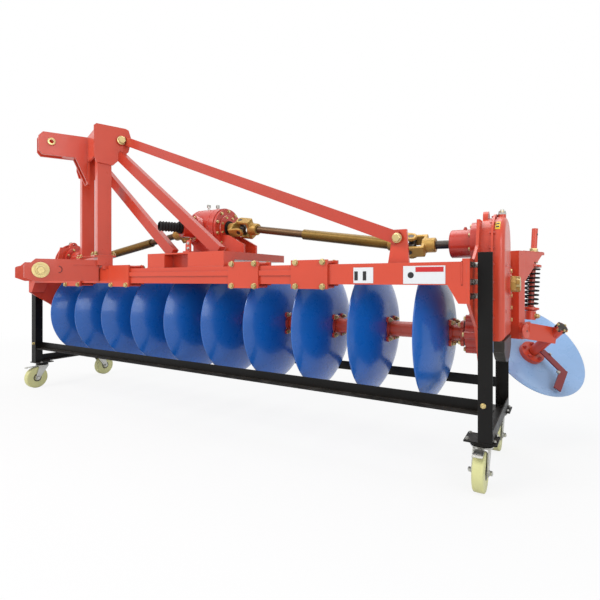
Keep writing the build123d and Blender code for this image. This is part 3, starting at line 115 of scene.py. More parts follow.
def finish(
    name,
    colour,
    rough=0.35,
    metal=0.0,
    coat=0.0,
    vary=0.08,
    wear=None,
    wear_level=0.35,
    # colour and strength of the painted shade in hollows
    crevice_shade_colour=(0.05, 0.035, 0.025),
    crevice_shade_level=0.35,
    dust_level=0.10,
    grain=420.0,
    grain_depth=0.00012,
    lumps=0.0,
    edge=0.0018,
    rings=0.0,
    specular=0.5,
):
    """Makes a finish: colour drift, worn edges, painted shade in corners, dust on top and grain.

    The frame brings plain materials of its own under some of these names, so each finish has a
    longer name and is only ever taken from FINISHES.
    """
    material = bpy.data.materials.new(name + "_finish")
    FINISHES[name] = material
    material.use_nodes = True
    tree = material.node_tree
    shader = tree.nodes["Principled BSDF"]
    place = tree.nodes.new("ShaderNodeTexCoord").outputs["Object"]

    def noise(scale, detail=4.0, rough_part=0.55, distortion=0.0):
        made = tree.nodes.new("ShaderNodeTexNoise")
        tree.links.new(place, made.inputs["Vector"])
        made.inputs["Scale"].default_value = scale
        made.inputs["Detail"].default_value = detail
        made.inputs["Roughness"].default_value = rough_part
        made.inputs["Distortion"].default_value = distortion
        return made.outputs["Fac"]

    broad = noise(3.1, 5.0)
    patch = noise(17.0, 6.0, 0.62)
    darker = tuple(part * (1.0 - 1.5 * vary) for part in colour)
    lighter = tuple(min(1.0, part * (1.0 + vary) + 0.012 * vary) for part in colour)
    base = mixed(tree, ranged(tree, broad, 0.32, 0.68, 0.0, 1.0), darker, lighter)
    speck = ranged(tree, patch, 0.52, 0.75, 0.0, 0.35)
    base = mixed(tree, speck, base, darker)

    bevel = tree.nodes.new("ShaderNodeBevel")
    bevel.samples = EDGE_SAMPLES
    bevel.inputs["Radius"].default_value = edge
    geometry = tree.nodes.new("ShaderNodeNewGeometry")
    wide = tree.nodes.new("ShaderNodeBevel")
    wide.samples = EDGE_SAMPLES
    wide.inputs["Radius"].default_value = edge * 1.7
    spread = tree.nodes.new("ShaderNodeVectorMath")
    spread.operation = "DOT_PRODUCT"
    tree.links.new(wide.outputs["Normal"], spread.inputs[0])
    tree.links.new(geometry.outputs["Normal"], spread.inputs[1])
    turned = ranged(tree, spread.outputs["Value"], 0.985, 0.90, 0.0, 1.0)
    broken = ranged(tree, patch, 0.50, 0.60, 0.0, 1.0)
    worn = combined(tree, combined(tree, turned, broken), wear_level)
    roughness = ranged(tree, patch, 0.3, 0.7, max(0.03, rough - 0.05), min(1.0, rough + 0.09))
    scratch = noise(60.0, 2.0, 0.5, 2.5)
    line = ranged(tree, scratch, 0.497, 0.503, 0.0, 1.0)
    roughness = combined(tree, roughness, ranged(tree, line, 0.0, 1.0, 0.0, 0.02), "ADD")
    if wear:
        base = mixed(tree, worn, base, wear)

    # Painted shade: ambient occlusion darkens corners, creases and gaps between parts towards a
    # dark colour
    hollow = tree.nodes.new("ShaderNodeAmbientOcclusion")
    hollow.samples = EDGE_SAMPLES
    hollow.inputs["Distance"].default_value = 0.03
    closed = ranged(tree, hollow.outputs["AO"], 0.25, 0.85, crevice_shade_level, 0.0)
    crevice_shade_mask = combined(tree, closed, ranged(tree, patch, 0.3, 0.6, 0.35, 1.0))
    base = mixed(tree, crevice_shade_mask, base, crevice_shade_colour)

    upward = tree.nodes.new("ShaderNodeSeparateXYZ")
    tree.links.new(geometry.outputs["Normal"], upward.inputs["Vector"])
    lying = ranged(tree, upward.outputs["Z"], 0.55, 0.98, 0.0, dust_level)
    dust = combined(tree, lying, ranged(tree, patch, 0.35, 0.65, 0.2, 1.0))
    base = mixed(tree, dust, base, DUST)
    roughness = combined(tree, roughness, combined(tree, dust, 0.8), "ADD")

    tree.links.new(base, shader.inputs["Base Color"])
    tree.links.new(roughness, shader.inputs["Roughness"])
    if metal > 0.0 and wear:
        tree.links.new(ranged(tree, worn, 0.0, 1.0, metal, 1.0), shader.inputs["Metallic"])
    else:
        shader.inputs["Metallic"].default_value = metal
    shader.inputs["Coat Weight"].default_value = coat
    shader.inputs["Specular IOR Level"].default_value = specular
    shader.inputs["Coat Roughness"].default_value = COAT_ROUGHNESS

    normal = bevel.outputs["Normal"]
    for scale, detail, rough_part, distance, strength in (
        (grain, 2.0, 0.55, grain_depth, 0.6),
        (38.0, 3.0, 0.55, lumps, 0.6),
        (9.0, 1.0, 0.5, rings, 0.5),
    ):
        if distance > 0.0:
            bump = tree.nodes.new("ShaderNodeBump")
            bump.inputs["Strength"].default_value = strength
            bump.inputs["Distance"].default_value = distance
            tree.links.new(noise(scale, detail, rough_part), bump.inputs["Height"])
            tree.links.new(normal, bump.inputs["Normal"])
            normal = bump.outputs["Normal"]
    tree.links.new(normal, shader.inputs["Normal"])


finish(
    "red_paint", srgb(214, 72, 44), 0.31, coat=0.30, vary=0.035, wear=STEEL, wear_level=0.16
)
# Painted shade: the braces carry the frame's red paint, darkened because their upward faces catch
# more lamp light
finish(
    "shaded_brace_red", srgb(190, 56, 34), 0.32, coat=0.28, vary=0.035, wear=STEEL, wear_level=0.16
)
finish(
    "red_cast", srgb(202, 56, 38), 0.28, coat=0.38, vary=0.06, wear=STEEL, wear_level=0.20,
    lumps=0.0011, grain=300.0, grain_depth=0.0003, edge=0.003,
)
finish(
    "dark_red", srgb(132, 24, 30), 0.34, coat=0.2, vary=0.10, wear=STEEL, wear_level=0.3
)
finish(
    "blue_paint", srgb(18, 97, 184), 0.27, coat=0.26, vary=0.06, wear=(0.30, 0.31, 0.33),
    wear_level=0.25, edge=0.0022, rings=0.0010,
)
# The furrow disc's own light blue, made lighter still as a painted reflection of the white
# surroundings
finish(
    "pale_blue_and_sheen", srgb(150, 188, 232), 0.26, coat=0.4, vary=0.05, wear=(0.30, 0.31, 0.33),
    wear_level=0.35, edge=0.002, rings=0.0010,
)
finish(
    "black_paint", srgb(14, 13, 12), 0.40, coat=0.03, vary=0.20, wear=(0.28, 0.26, 0.24),
    wear_level=0.22, dust_level=0.10, specular=0.18,
)
finish(
    "olive_zinc", srgb(186, 148, 74), 0.40, metal=0.42, vary=0.12, wear=(0.80, 0.74, 0.56),
    wear_level=0.5, lumps=0.0008, grain=260.0, grain_depth=0.0003, edge=0.0026,
)
finish(
    "gold_tube", srgb(130, 101, 38), 0.36, metal=0.5, vary=0.10, wear=(0.7, 0.62, 0.42),
    wear_level=0.2,
)
finish(
    "brown_tube", srgb(104, 78, 50), 0.36, metal=0.6, vary=0.14, wear=(0.5, 0.45, 0.36),
    wear_level=0.3,
)
finish(
    "zinc", srgb(206, 186, 130), 0.28, metal=0.92, vary=0.18, wear=(0.85, 0.84, 0.80),
    wear_level=0.5, edge=0.0012,
)
finish(
    "white_zinc", srgb(196, 196, 190), 0.30, metal=0.9, vary=0.10, wear=(0.85, 0.85, 0.85),
    wear_level=0.4, edge=0.001,
)
finish(
    "dark_steel", srgb(78, 74, 70), 0.36, metal=0.85, vary=0.22, wear=(0.6, 0.58, 0.55),
    wear_level=0.5,
)
finish(
    "rubber", srgb(24, 24, 25), 0.62, vary=0.25, grain=700.0, grain_depth=0.0002,
    dust_level=0.10, edge=0.001, specular=0.25,
)
# The cream wheels take a brown painted shade in their hollows
finish(
    "cream", srgb(220, 218, 154), 0.42, vary=0.10, wear=(0.11, 0.075, 0.04), wear_level=0.75,
    crevice_shade_colour=(0.20, 0.16, 0.09), crevice_shade_level=0.5, grain=500.0, grain_depth=0.0002, edge=0.004,
)
finish("label_white", srgb(232, 234, 236), 0.30, vary=0.03, dust_level=0.0)
finish("label_red", srgb(206, 40, 44), 0.30, vary=0.04, dust_level=0.0)
finish("label_yellow", srgb(238, 200, 40), 0.32, vary=0.04, dust_level=0.0)
finish("label_black", srgb(30, 30, 32), 0.35, vary=0.05, dust_level=0.0)

# Finishes of the CAD nodes; the others take red_paint
NODE_FINISHES = {
    "red_cast": (
        "bearing_housings", "gang_hubs", "gearbox_housing", "input_housings",
    ),
    # the braces take the darkened, shaded copy of the frame's red
    "shaded_brace_red": ("brace_long", "brace_near", "brace_far"),
    "dark_red": ("tail_scraper",),
    "blue_paint": ("gang_discs",),
    # the furrow disc: its own light blue plus a painted reflection
    "pale_blue_and_sheen": ("tail_disc",),
    "black_paint": (
        "tail_spring", "trolley_posts", "trolley_rails", "trolley_sills", "caster_mounts",
    ),
    "olive_zinc": ("drive_yokes",),
    "gold_tube": ("drive_outer_tubes",),
    "brown_tube": ("drive_inner_tubes",),
    "zinc": ("case_nuts", "lower_hitch_pins"),
    "white_zinc": (
        "post_spacers", "caster_fork_near_left", "caster_fork_near_right",
        "caster_fork_far_left", "caster_fork_far_right",
    ),
    "dark_steel": ("case_guards", "pto_input_shaft", "drive_stubs", "drive_crosses"),
    "rubber": ("gearbox_seals", "pto_boot"),
    "cream": (
        "caster_wheel_near_left", "caster_wheel_near_right",
        "caster_wheel_far_left", "caster_wheel_far_right",
    ),
}

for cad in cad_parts.values():
    cad.data.materials.clear()
    cad.data.materials.append(FINISHES["red_paint"])
for finish_name, names in NODE_FINISHES.items():
    for name in names:
        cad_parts[name].data.materials[0] = FINISHES[finish_name]

# Rounded edges of the cast forks
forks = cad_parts["drive_yokes"]
cast = forks.modifiers.new("cast_skin", "REMESH")
cast.mode = "VOXEL"
cast.voxel_size = 0.003
cast.use_smooth_shade = True
soften = forks.modifiers.new("softened", "SMOOTH")
soften.factor = 0.5
soften.iterations = 9


# Mesh building
class Shape:
    """Points and faces of one piece, in millimetres."""

    def __init__(self):
        self.points = []
        self.faces = []

    def loft(self, rings, caps=True):
        """Joins rings of points with quads and, with caps, closes both ends."""
        start = len(self.points)
        count = len(rings[0])
        for ring in rings:
            self.points.extend(ring)
        for row in range(len(rings) - 1):
            a = start + row * count
            b = a + count
            for step in range(count):
                after = (step + 1) % count
                self.faces.append((a + step, a + after, b + after, b + step))
        if caps:
            self.faces.append(tuple(range(start + count - 1, start - 1, -1)))
            last = start + (len(rings) - 1) * count
            self.faces.append(tuple(range(last, last + count)))

    def turned(self, place, axis, profile, sides=24, spin=0.0, caps=True):
        """Body of revolution: profile holds pairs of distance along the axis and radius."""
        axis = Vector(axis).normalized()
        side = axis.orthogonal().normalized()
        if abs(axis.z) < 0.99:
            side = (Z - axis * axis.z).normalized()
        other = axis.cross(side)
        rings = []
        for distance, radius in profile:
            ring = []
            for step in range(sides):
                angle = 2.0 * pi * step / sides + spin
                ring.append(
                    Vector(place)
                    + axis * distance
                    + side * (cos(angle) * radius)
                    + other * (sin(angle) * radius)
                )
            rings.append(ring)
        self.loft(rings, caps)

    def bolt(self, place, axis, size, washer=True, stud=0.0, spin=0.0):
        """Hex head or nut on a washer; stud is how far a threaded end stands out of it."""
        flat = size * 1.5
        corner = flat / sqrt(3.0)
        base = 0.0
        if washer:
            base = size * 0.17
            self.turned(
                place, axis,
                ((-0.5, size * 0.98), (base - 0.6, size * 0.98), (base, size * 0.92)), 20,
            )
        top = base + size * (0.8 if stud else 0.64)
        self.turned(
            place, axis,
            (
                (base - 0.4, corner * 0.94),
                (base + size * 0.06, corner),
                (top - size * 0.10, corner),
                (top, corner * 0.86),
            ),
            6, spin,
        )
        if stud:
            step = size * 0.11
            profile = [(top - 1.0, size * 0.47)]
            reach = top
            while reach < top + stud - step:
                profile.append((reach, size * 0.50))
                profile.append((reach + step * 0.5, size * 0.455))
                reach += step
            profile.append((top + stud, size * 0.40))
            self.turned(place, axis, profile, 12)

    def slab(self, place, along, across, thick, outline):
        """Flat plate with a bevelled rim; outline holds points along two directions."""
        up = Vector(along).cross(Vector(across)).normalized()
        middle = Vector((0.0, 0.0))
        for a, b in outline:
            middle += Vector((a, b)) / len(outline)
        rings = []
        for height, inset in ((0.0, 0.0), (thick * 0.75, 0.0), (thick, min(1.2, thick * 0.4))):
            ring = []
            for a, b in outline:
                way = Vector((a, b)) - middle
                spot = Vector((a, b)) - way.normalized() * inset
                ring.append(Vector(place) + along * spot.x + across * spot.y + up * height)
            rings.append(ring)
        self.loft(rings)

    def bolt_ring(self, centre, axis, radius, count, size, start=0.0, skip=(), **more):
        """Bolts on a circle around a level axis, with skip naming the places left empty."""
        axis = Vector(axis).normalized()
        level = Z.cross(axis).normalized()
        for turn in range(count):
            if turn in skip:
                continue
            angle = radians(start + 360.0 * turn / count)
            spot = Vector(centre) + level * (cos(angle) * radius) + Z * (sin(angle) * radius)
            self.bolt(spot, axis, size, spin=angle * 1.7, **more)

    def teeth(self, place, axis, start, end, inner, outer, count, share=0.6):
        """Crown of teeth around an axis."""
        axis = Vector(axis).normalized()
        side = axis.orthogonal().normalized()
        other = axis.cross(side)
        for number in range(count):
            rings = []
            for distance, fall in ((start, 0.0), (end - 1.5, 0.0), (end, 1.2)):
                ring = []
                for radius, order in ((inner, (0, 1, 2, 3)), (outer - fall, (3, 2, 1, 0))):
                    for step in order:
                        angle = 2.0 * pi * (number + share * (step / 3.0 - 0.5)) / count
                        ring.append(
                            Vector(place) + axis * distance
                            + side * (cos(angle) * radius) + other * (sin(angle) * radius)
                        )
                rings.append(ring)
            self.loft(rings)

    def bead(self, start, end, radius=4.0):
        """Weld bead with ripples between two points."""
        start = Vector(start)
        run = Vector(end) - start
        steps = max(4, int(run.length / (radius * 1.5)))
        profile = []
        for step in range(steps + 1):
            part = step / steps * run.length
            profile.append((part, radius * 0.78))
            if step < steps:
                profile.append((part + 0.5 * run.length / steps, radius))
        self.turned(start, run, profile, 8)


def piece(name, shape, body, finish_name, sharp=32.0):
    """Makes the mesh object of a shape, which rides on a body and takes a finish."""
    mesh = bpy.data.meshes.new(name)
    mesh.from_pydata(
        [tuple((p - FOOTPRINT) / 1000.0) for p in shape.points], [], shape.faces
    )
    mesh.validate()
    mesh.update()
    for face in mesh.polygons:
        face.use_smooth = True
    mesh.set_sharp_from_angle(angle=radians(sharp))
    made = bpy.data.objects.new(name, mesh)
    bpy.context.scene.collection.objects.link(made)
    mesh.materials.append(FINISHES[finish_name])
    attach(made, body)


# Places taken over from the construction, in millimetres
AXLE_Z = 590.0
DISC_COUNT = 10
DISC_PITCH = 300.0
FIRST_DISC_X = -1340.0
HUB_REACH = 85.0
HUB_PLATE = 12.0
HUB_BOLT_RADIUS = 67.0
INPUT_Z = 1005.0
CASE_MIDDLE_Y = 21.0
CASE_ARC_Z = 983.0
CLAMPS = (-1010.0, -508.0, 487.0, 878.0)
BEAM_END_X = 1559.0
PLATE_BACK_Y = -360.6
PLATE_FRONT_Y = -361.4
BAR_TOP_Z = 1000.0
MAST_SPAN = 500.0
MAST_NEAR = (-722.0, -330.0)
MAST_FAR = (MAST_NEAR[0] - ACROSS.x * MAST_SPAN, MAST_NEAR[1] - ACROSS.y * MAST_SPAN)
MAST_MID = ((MAST_NEAR[0] + MAST_FAR[0]) / 2, (MAST_NEAR[1] + MAST_FAR[1]) / 2)
PIN_SPAN = 683.0
ARM_NEAR = (-848.0, -670.0)
ARM_FAR = (ARM_NEAR[0] - ACROSS.x * PIN_SPAN, ARM_NEAR[1] - ACROSS.y * PIN_SPAN)
TAIL = (1693.0, 334.0)
ROD_FOOT_Z = 655.0
CASTER_X = 1616.0
CASTER_Y = 246.0
CASTER_TRAIL = 46.0
CASTER_AXLE_Z = 79.0
GEARBOX = Vector((-40.0, 0.0, 1160.0))
WHEEL_AXIS = Vector((0.560, -0.535, 0.632)).normalized()
HUB_BACK = Vector((1768.0, 611.0, 449.0)) - WHEEL_AXIS * 52.0

# Bolts of the beam clamps
shape = Shape()
for middle in CLAMPS:
    for offset in (-73.0, 73.0):
        for height in (919.0, 805.0):
            if height < 900.0 or middle > 0.0:
                shape.bolt((middle + offset, -372.0, height), -Y, 15.5, spin=offset * height)
        shape.bolt((middle + offset, -254.0, 919.0), Y, 15.5, stud=9.0, spin=middle)
piece("clamp_bolts", shape, "frame", "zinc")

# Bolts through the end flanges of the beam, the side plates and the trolley's posts
shape = Shape()
for side in ENDS:
    for z in (772.0, 828.0, 896.0):
        shape.bolt((side * 1588.0, -338.0, z), side * X, 14.0, stud=4.0, spin=z)
        shape.bolt((side * 1612.5, -272.0, z), side * X, 14.0, stud=4.0, spin=z * 2.0)
        shape.bolt((side * 1560.0, -338.0, z), -side * X, 14.0, spin=z)
        shape.bolt((side * 1560.0, -272.0, z), -side * X, 14.0, spin=z)
# Painted shade: these bolts in the gap between the beam's end flanges and the posts take the dark
# steel finish for the shade there
piece("flange_bolts", shape, "frame", "dark_steel")
shape = Shape()
for side in ENDS:
    for y, z in ((-138.0, 700.0), (-126.0, 860.0), (182.0, 700.0), (182.0, 840.0), (182.0, 960.0)):
        shape.bolt((side * 1588.0, y, z), side * X, 12.0, spin=z)
        shape.bolt((side * 1576.0, y, z), -side * X, 12.0, stud=6.0, spin=z)
piece("side_plate_bolts", shape, "frame", "zinc")

# Nuts on the lobed hubs and on the axle flanges
shape = Shape()
for number in range(DISC_COUNT):
    face = FIRST_DISC_X + number * DISC_PITCH + HUB_REACH + HUB_PLATE
    for lobe in range(4):
        angle = radians(45.0 + 90.0 * lobe)
        y = HUB_BOLT_RADIUS * cos(angle)
        z = AXLE_Z + HUB_BOLT_RADIUS * sin(angle)
        shape.bolt((face, y, z), X, 12.0, stud=7.0, spin=lobe + number)
        back = (face - HUB_PLATE - 6.0, y, z)
        shape.bolt(back, -X, 12.0, washer=False, spin=lobe)
for side in ENDS:
    shape.bolt_ring((side * 1496.0, 0.0, AXLE_Z), -side * X, 58.0, 4, 12.0, 45.0, stud=5.0)
piece("hub_nuts", shape, "gang", "zinc")

# Bolts around the bearing housings and the input housings, with an oil pipe boss on each
shape = Shape()
for side in ENDS:
    shape.bolt_ring((side * 1518.0, 0.0, AXLE_Z), -side * X, 81.0, 6, 12.0)
    shape.bolt_ring((side * 1542.0, 0.0, INPUT_Z), -side * X, 81.0, 8, 10.0, 22.5)
piece("housing_bolts", shape, "frame", "zinc")
shape = Shape()
for side in ENDS:
    shape.turned(
        (side * 1450.0, 0.0, INPUT_Z), -side * X,
        ((-2.0, 58.0), (0.0, 62.0), (4.0, 62.0), (6.0, 58.0), (6.0, 34.0), (-2.0, 34.0)), 48,
        caps=False,
    )
    shape.turned(
        (side * 1508.0, 0.0, 1068.0), Z, ((-3.0, 9.0), (8.0, 9.0), (9.0, 6.0), (14.0, 6.0)), 16
    )
piece("housing_caps", shape, "frame", "red_cast")

# Screws on the rims of the gear cases, and the slotted idler nuts and plugs
screws = Shape()
for side in ENDS:
    spots = [
        (y, z) for y in (166.0, -124.0) for z in (600.0, 676.0, 752.0, 828.0, 904.0, 974.0)
    ]
    for step in range(1, 8):
        angle = pi * step / 8.0
        spots.append((CASE_MIDDLE_Y + 145.0 * cos(angle), CASE_ARC_Z + 145.0 * sin(angle)))
    for y, z in spots:
        screws.bolt((side * 1642.0, y, z), side * X, 5.6, spin=y)
        screws.bolt((side * 1633.0, y, z), -side * X, 5.6, stud=3.0, spin=z)
piece("case_screws", screws, "frame", "red_cast")
nuts = Shape()
plugs = Shape()
for side in ENDS:
    face = Vector((side * 1698.0, 30.0, 818.0))
    nuts.turned(face, side * X, ((-0.5, 37.0), (2.0, 37.5), (20.0, 37.5), (24.0, 35.0)), 6, 0.3)
    nuts.teeth(face, side * X, 22.0, 37.2, 30.0, 35.0, 6)
    nuts.turned(face, side * X, ((33.0, 15.0), (36.0, 15.0), (37.5, 13.0)), 24)
    top = Vector((side * 1662.0, 16.0, 1130.0))
    plugs.turned(top, Z, ((-0.5, 17.0), (1.0, 17.5), (8.0, 17.5), (9.0, 15.5)), 6, 0.2)
    plugs.teeth(top, Z, 8.5, 17.0, 10.5, 15.0, 8, 0.5)
    plugs.turned(top, Z, ((17.0, 9.0), (23.0, 9.0), (25.0, 6.0)), 16)
piece("idler_nuts", nuts, "frame", "olive_zinc")
piece("filler_plugs", plugs, "frame", "white_zinc")
shape = Shape()
for side in ENDS:
    for y, z in ((-62.0, 700.0), (-62.0, 900.0), (108.0, 700.0), (108.0, 900.0)):
        shape.turned((side * 1686.0, y, z), side * X, ((-1.0, 9.0), (1.5, 9.0), (2.5, 7.0)), 20)
piece("case_cover_bosses", shape, "frame", "red_cast")

# Bolts, covers, breathers and foot bolts of the centre gearbox
shape = Shape()
for side, start, skip in ((-1, 18.0, ()), (1, -126.0, (1, 3))):
    shape.bolt_ring(GEARBOX + X * (side * 118.0), side * X, 111.0, 10, 11.0, start, skip)
    shape.bolt_ring(GEARBOX + X * (side * 126.0), side * X, 72.0, 8, 8.5, 22.5)
shape.bolt_ring(GEARBOX + AHEAD * 146.0, AHEAD, 71.0, 8, 9.0, 22.5)
for x in (-182.0, 102.0):
    for y in (-96.0, 96.0):
        if x < 0.0 or abs(y) > 60.0:
            shape.bolt((x, y, 1013.0), Z, 16.0, stud=8.0, spin=x + y)
piece("gearbox_bolts", shape, "frame", "zinc")
shape = Shape()
for side in ENDS:
    shape.turned(
        GEARBOX, side * X,
        ((117.0, 49.0), (117.0, 88.0), (122.0, 88.0), (126.0, 84.0), (126.0, 49.0),
         (117.0, 49.0)), 48, caps=False,
    )
shape.turned(
    GEARBOX, X,
    ((-101.0, 130.0), (-99.0, 133.0), (-93.0, 133.0), (-91.0, 130.5), (-91.0, 128.0),
     (-101.0, 128.0), (-101.0, 130.0)), 64, caps=False,
)
for side in ENDS:
    shape.turned(
        GEARBOX, side * X,
        ((52.0, 128.0), (52.0, 131.5), (54.0, 133.0), (58.0, 133.0), (60.0, 131.5),
         (60.0, 128.0), (52.0, 128.0)), 64, caps=False,
    )
piece("gearbox_covers", shape, "frame", "red_cast")
shape = Shape()
for place in (Vector((-70.0, -20.0, 1289.0)), Vector((-30.0, 20.0, 1289.0))):
    shape.turned(
        place, Z, ((-2.0, 8.0), (6.0, 8.0), (6.5, 5.5), (14.0, 5.5), (14.5, 12.0), (21.0, 12.5)), 6
    )
    shape.teeth(place, Z, 20.0, 34.0, 6.0, 12.0, 6, 0.5)
    shape.turned(place, Z, ((20.0, 7.0), (33.0, 7.0), (36.0, 4.0)), 16)
piece("gearbox_breathers", shape, "frame", "white_zinc")

# Bolted bracket beside the input neck
shape = Shape()
shape.slab(
    (0.0, -318.0, 0.0), X, Z, 10.0,
    ((34.0, 993.0), (72.0, 993.0), (72.0, 1066.0), (46.0, 1066.0), (34.0, 1040.0)),
)
shape.slab(
    (0.0, 0.0, 993.0), X, Y, 9.0,
    ((26.0, -340.0), (76.0, -340.0), (76.0, -290.0), (26.0, -290.0)),
)
piece("input_bracket", shape, "frame", "red_paint")
shape = Shape()
shape.bolt((30.0, -306.0, 1002.0), Z, 10.0, stud=4.0, spin=0.4)
for z in (1018.0, 1046.0):
    shape.bolt((58.0, -328.5, z), -Y, 9.0, spin=z)
    shape.bolt((44.0, -317.5, z - 6.0), Y, 9.0, stud=4.0, spin=z)
piece("bracket_bolts", shape, "frame", "white_zinc")

# Nuts at the feet of the mast
shape = Shape()
for x, y in (MAST_NEAR, MAST_FAR):
    for ahead in (-54.0, 54.0):
        for across in (-46.0, 46.0):
            spot = hitch(x, y, ahead, across, BAR_TOP_Z)
            shape.bolt(spot, Z, 15.0, stud=9.0, spin=ahead)
piece("mast_foot_nuts", shape, "frame", "zinc")

# Bolts of the braces
shape = Shape()
shape.bolt(hitch(*MAST_NEAR, -100.0, 63.0, 1768.0), ACROSS, 29.0, spin=0.3)
shape.bolt((1288.0, -327.5, 1016.0), -Y, 22.0, spin=0.4)
shape.bolt((1288.0, -294.0, 1016.0), Y, 22.0, stud=6.0, spin=0.1)
piece("brace_bolts", shape, "frame", "zinc")

# Collars on both sides of the top link bore
shape = Shape()
for side in ENDS:
    start = hitch(*MAST_MID, 276.0, side * 51.0, 1756.0)
    outer = [(-3.0, 13.2), (-3.0, 24.0), (2.6, 24.0), (3.6, 22.0), (3.6, 13.2), (-3.0, 13.2)]
    shape.turned(start, side * ACROSS, outer, 32, caps=False)
piece("top_link_collars", shape, "frame", "zinc")

# Rings pressed on the heads of the lower pins, and a half-round stop on the near arm
shape = Shape()
for reach, arm in ((1, ARM_NEAR), (-1, ARM_FAR)):
    start = hitch(*arm, 0.0, reach * 32.0, 898.0)
    shape.turned(
        start, reach * ACROSS,
        ((-1.0, 24.0), (0.6, 24.0), (1.4, 22.0), (0.2, 19.0), (-1.0, 18.0)), 36,
    )
    shape.turned(start, reach * ACROSS, ((-1.0, 5.0), (0.4, 5.0), (0.2, 2.0)), 20)
piece("pin_heads", shape, "frame", "zinc")
shape = Shape()
spots = []
for turn in range(15):
    angle = radians(-84.0 + 168.0 * turn / 14.0)
    spots.append(hitch(*ARM_NEAR, -96.0 - 21.0 * cos(angle), 10.4, 902.0 + 21.0 * sin(angle)))
for start, end in zip(spots, spots[1:]):
    shape.bead(start, end, 2.6)
piece("arm_stop", shape, "frame", "dark_red", sharp=80.0)

# Blank label plates on the beam and on the right gear case
for name, x0, x1, z0, z1, y, finish_name in (
    ("plate_small", 1101.0, 1194.0, 822.0, 891.0, PLATE_BACK_Y, "label_white"),
    ("plate_small_left", 1106.0, 1122.0, 834.0, 874.0, PLATE_FRONT_Y, "label_black"),
    ("plate_small_right", 1146.0, 1162.0, 834.0, 874.0, PLATE_FRONT_Y, "label_black"),
    ("plate_large", 1326.0, 1497.0, 820.0, 894.0, PLATE_BACK_Y, "label_white"),
    ("plate_large_band", 1378.0, 1490.0, 869.0, 889.0, PLATE_FRONT_Y, "label_red"),
):
    shape = Shape()
    shape.slab((0.0, y, 0.0), X, Z, 0.8, ((x0, z0), (x1, z0), (x1, z1), (x0, z1)))
    piece(name, shape, "frame", finish_name)
shape = Shape()
shape.turned((1358.0, PLATE_FRONT_Y, 856.0), -Y, ((0.0, 13.0), (0.8, 12.5)), 28)
piece("plate_large_dot", shape, "frame", "label_black")
for name, low, high, x0, x1, lift, finish_name in (
    ("case_label", 31.0, 50.0, 1646.0, 1666.0, 0.7, "label_yellow"),
    ("case_label_upper", 42.5, 46.0, 1650.0, 1662.0, 1.2, "label_black"),
    ("case_label_lower", 35.0, 38.5, 1650.0, 1662.0, 1.2, "label_black"),
):
    shape = Shape()
    rings = []
    for turn in range(9):
        angle = radians(low + (high - low) * turn / 8.0)
        outside = []
        inside = []
        for step in range(9):
            x = x0 + (x1 - x0) * step / 8.0
            radius = 139.0
            if x > 1662.0:
                radius -= 24.0 - sqrt(24.0 ** 2 - (x - 1662.0) ** 2)
            for group, height in ((outside, lift), (inside, lift - 0.7)):
                reach = radius + height
                y = CASE_MIDDLE_Y - cos(angle) * reach
                group.append(Vector((x, y, CASE_ARC_Z + sin(angle) * reach)))
        rings.append(outside + inside[::-1])
    shape.loft(rings)
    piece(name, shape, "frame", finish_name, sharp=50.0)

# Welds along the hitch, the mast head, the platform and the tail post
shape = Shape()
for x, y in (MAST_NEAR, MAST_FAR):
    z = BAR_TOP_Z + 0.5
    for across in (-37.0, 37.0):
        shape.bead(hitch(x, y, -43.0, across, z), hitch(x, y, 43.0, across, z))
    for ahead in (-43.0, 43.0):
        shape.bead(hitch(x, y, ahead, -37.0, z), hitch(x, y, ahead, 37.0, z))
    for across in (-37.0, 37.0):
        shape.bead(hitch(x, y, 43.0, across, 1660.0), hitch(x, y, 43.0, across, 1826.0), 3.0)
for side in ENDS:
    for across in (30.0, 45.0):
        start = hitch(*MAST_MID, 55.0, side * across, 1680.0)
        shape.bead(start, hitch(*MAST_MID, 55.0, side * across, 1825.0), 3.0)
for x0, x1 in ((-256.0, -110.0), (79.0, 345.0)):
    shape.bead((x0, -354.0, 909.0), (x1, -354.0, 909.0))
    shape.bead((x0, -266.0, 909.0), (x1, -266.0, 909.0))
for web_y in (-60.0, 60.0):
    for edge in (-8.0, 8.0):
        shape.bead((127.0, web_y + edge, 993.5), (252.0, web_y + edge, 993.5), 3.5)
for side in ENDS:
    for z in (816.5, 907.5):
        shape.bead((side * BEAM_END_X, -360.0, z), (side * BEAM_END_X, -268.0, z), 3.5)
    shape.bead((side * BEAM_END_X, -360.5, 818.0), (side * BEAM_END_X, -360.5, 906.0), 3.5)
for z in (987.0, 931.5):
    shape.bead(hitch(*ARM_NEAR, -176.0, 10.0, z), hitch(*ARM_NEAR, -300.0, 10.0, z), 3.0)
for edge in (-23.0, 23.0):
    shape.bead(hitch(*TAIL, -30.5, edge, 984.5), hitch(*TAIL, -250.0, edge, 984.5), 2.6)
shape.bead((1676.0, 162.0, 612.0), (1676.0, 162.0, 898.0), 3.0)
piece("weld_beads", shape, "frame", "red_paint", sharp=60.0)

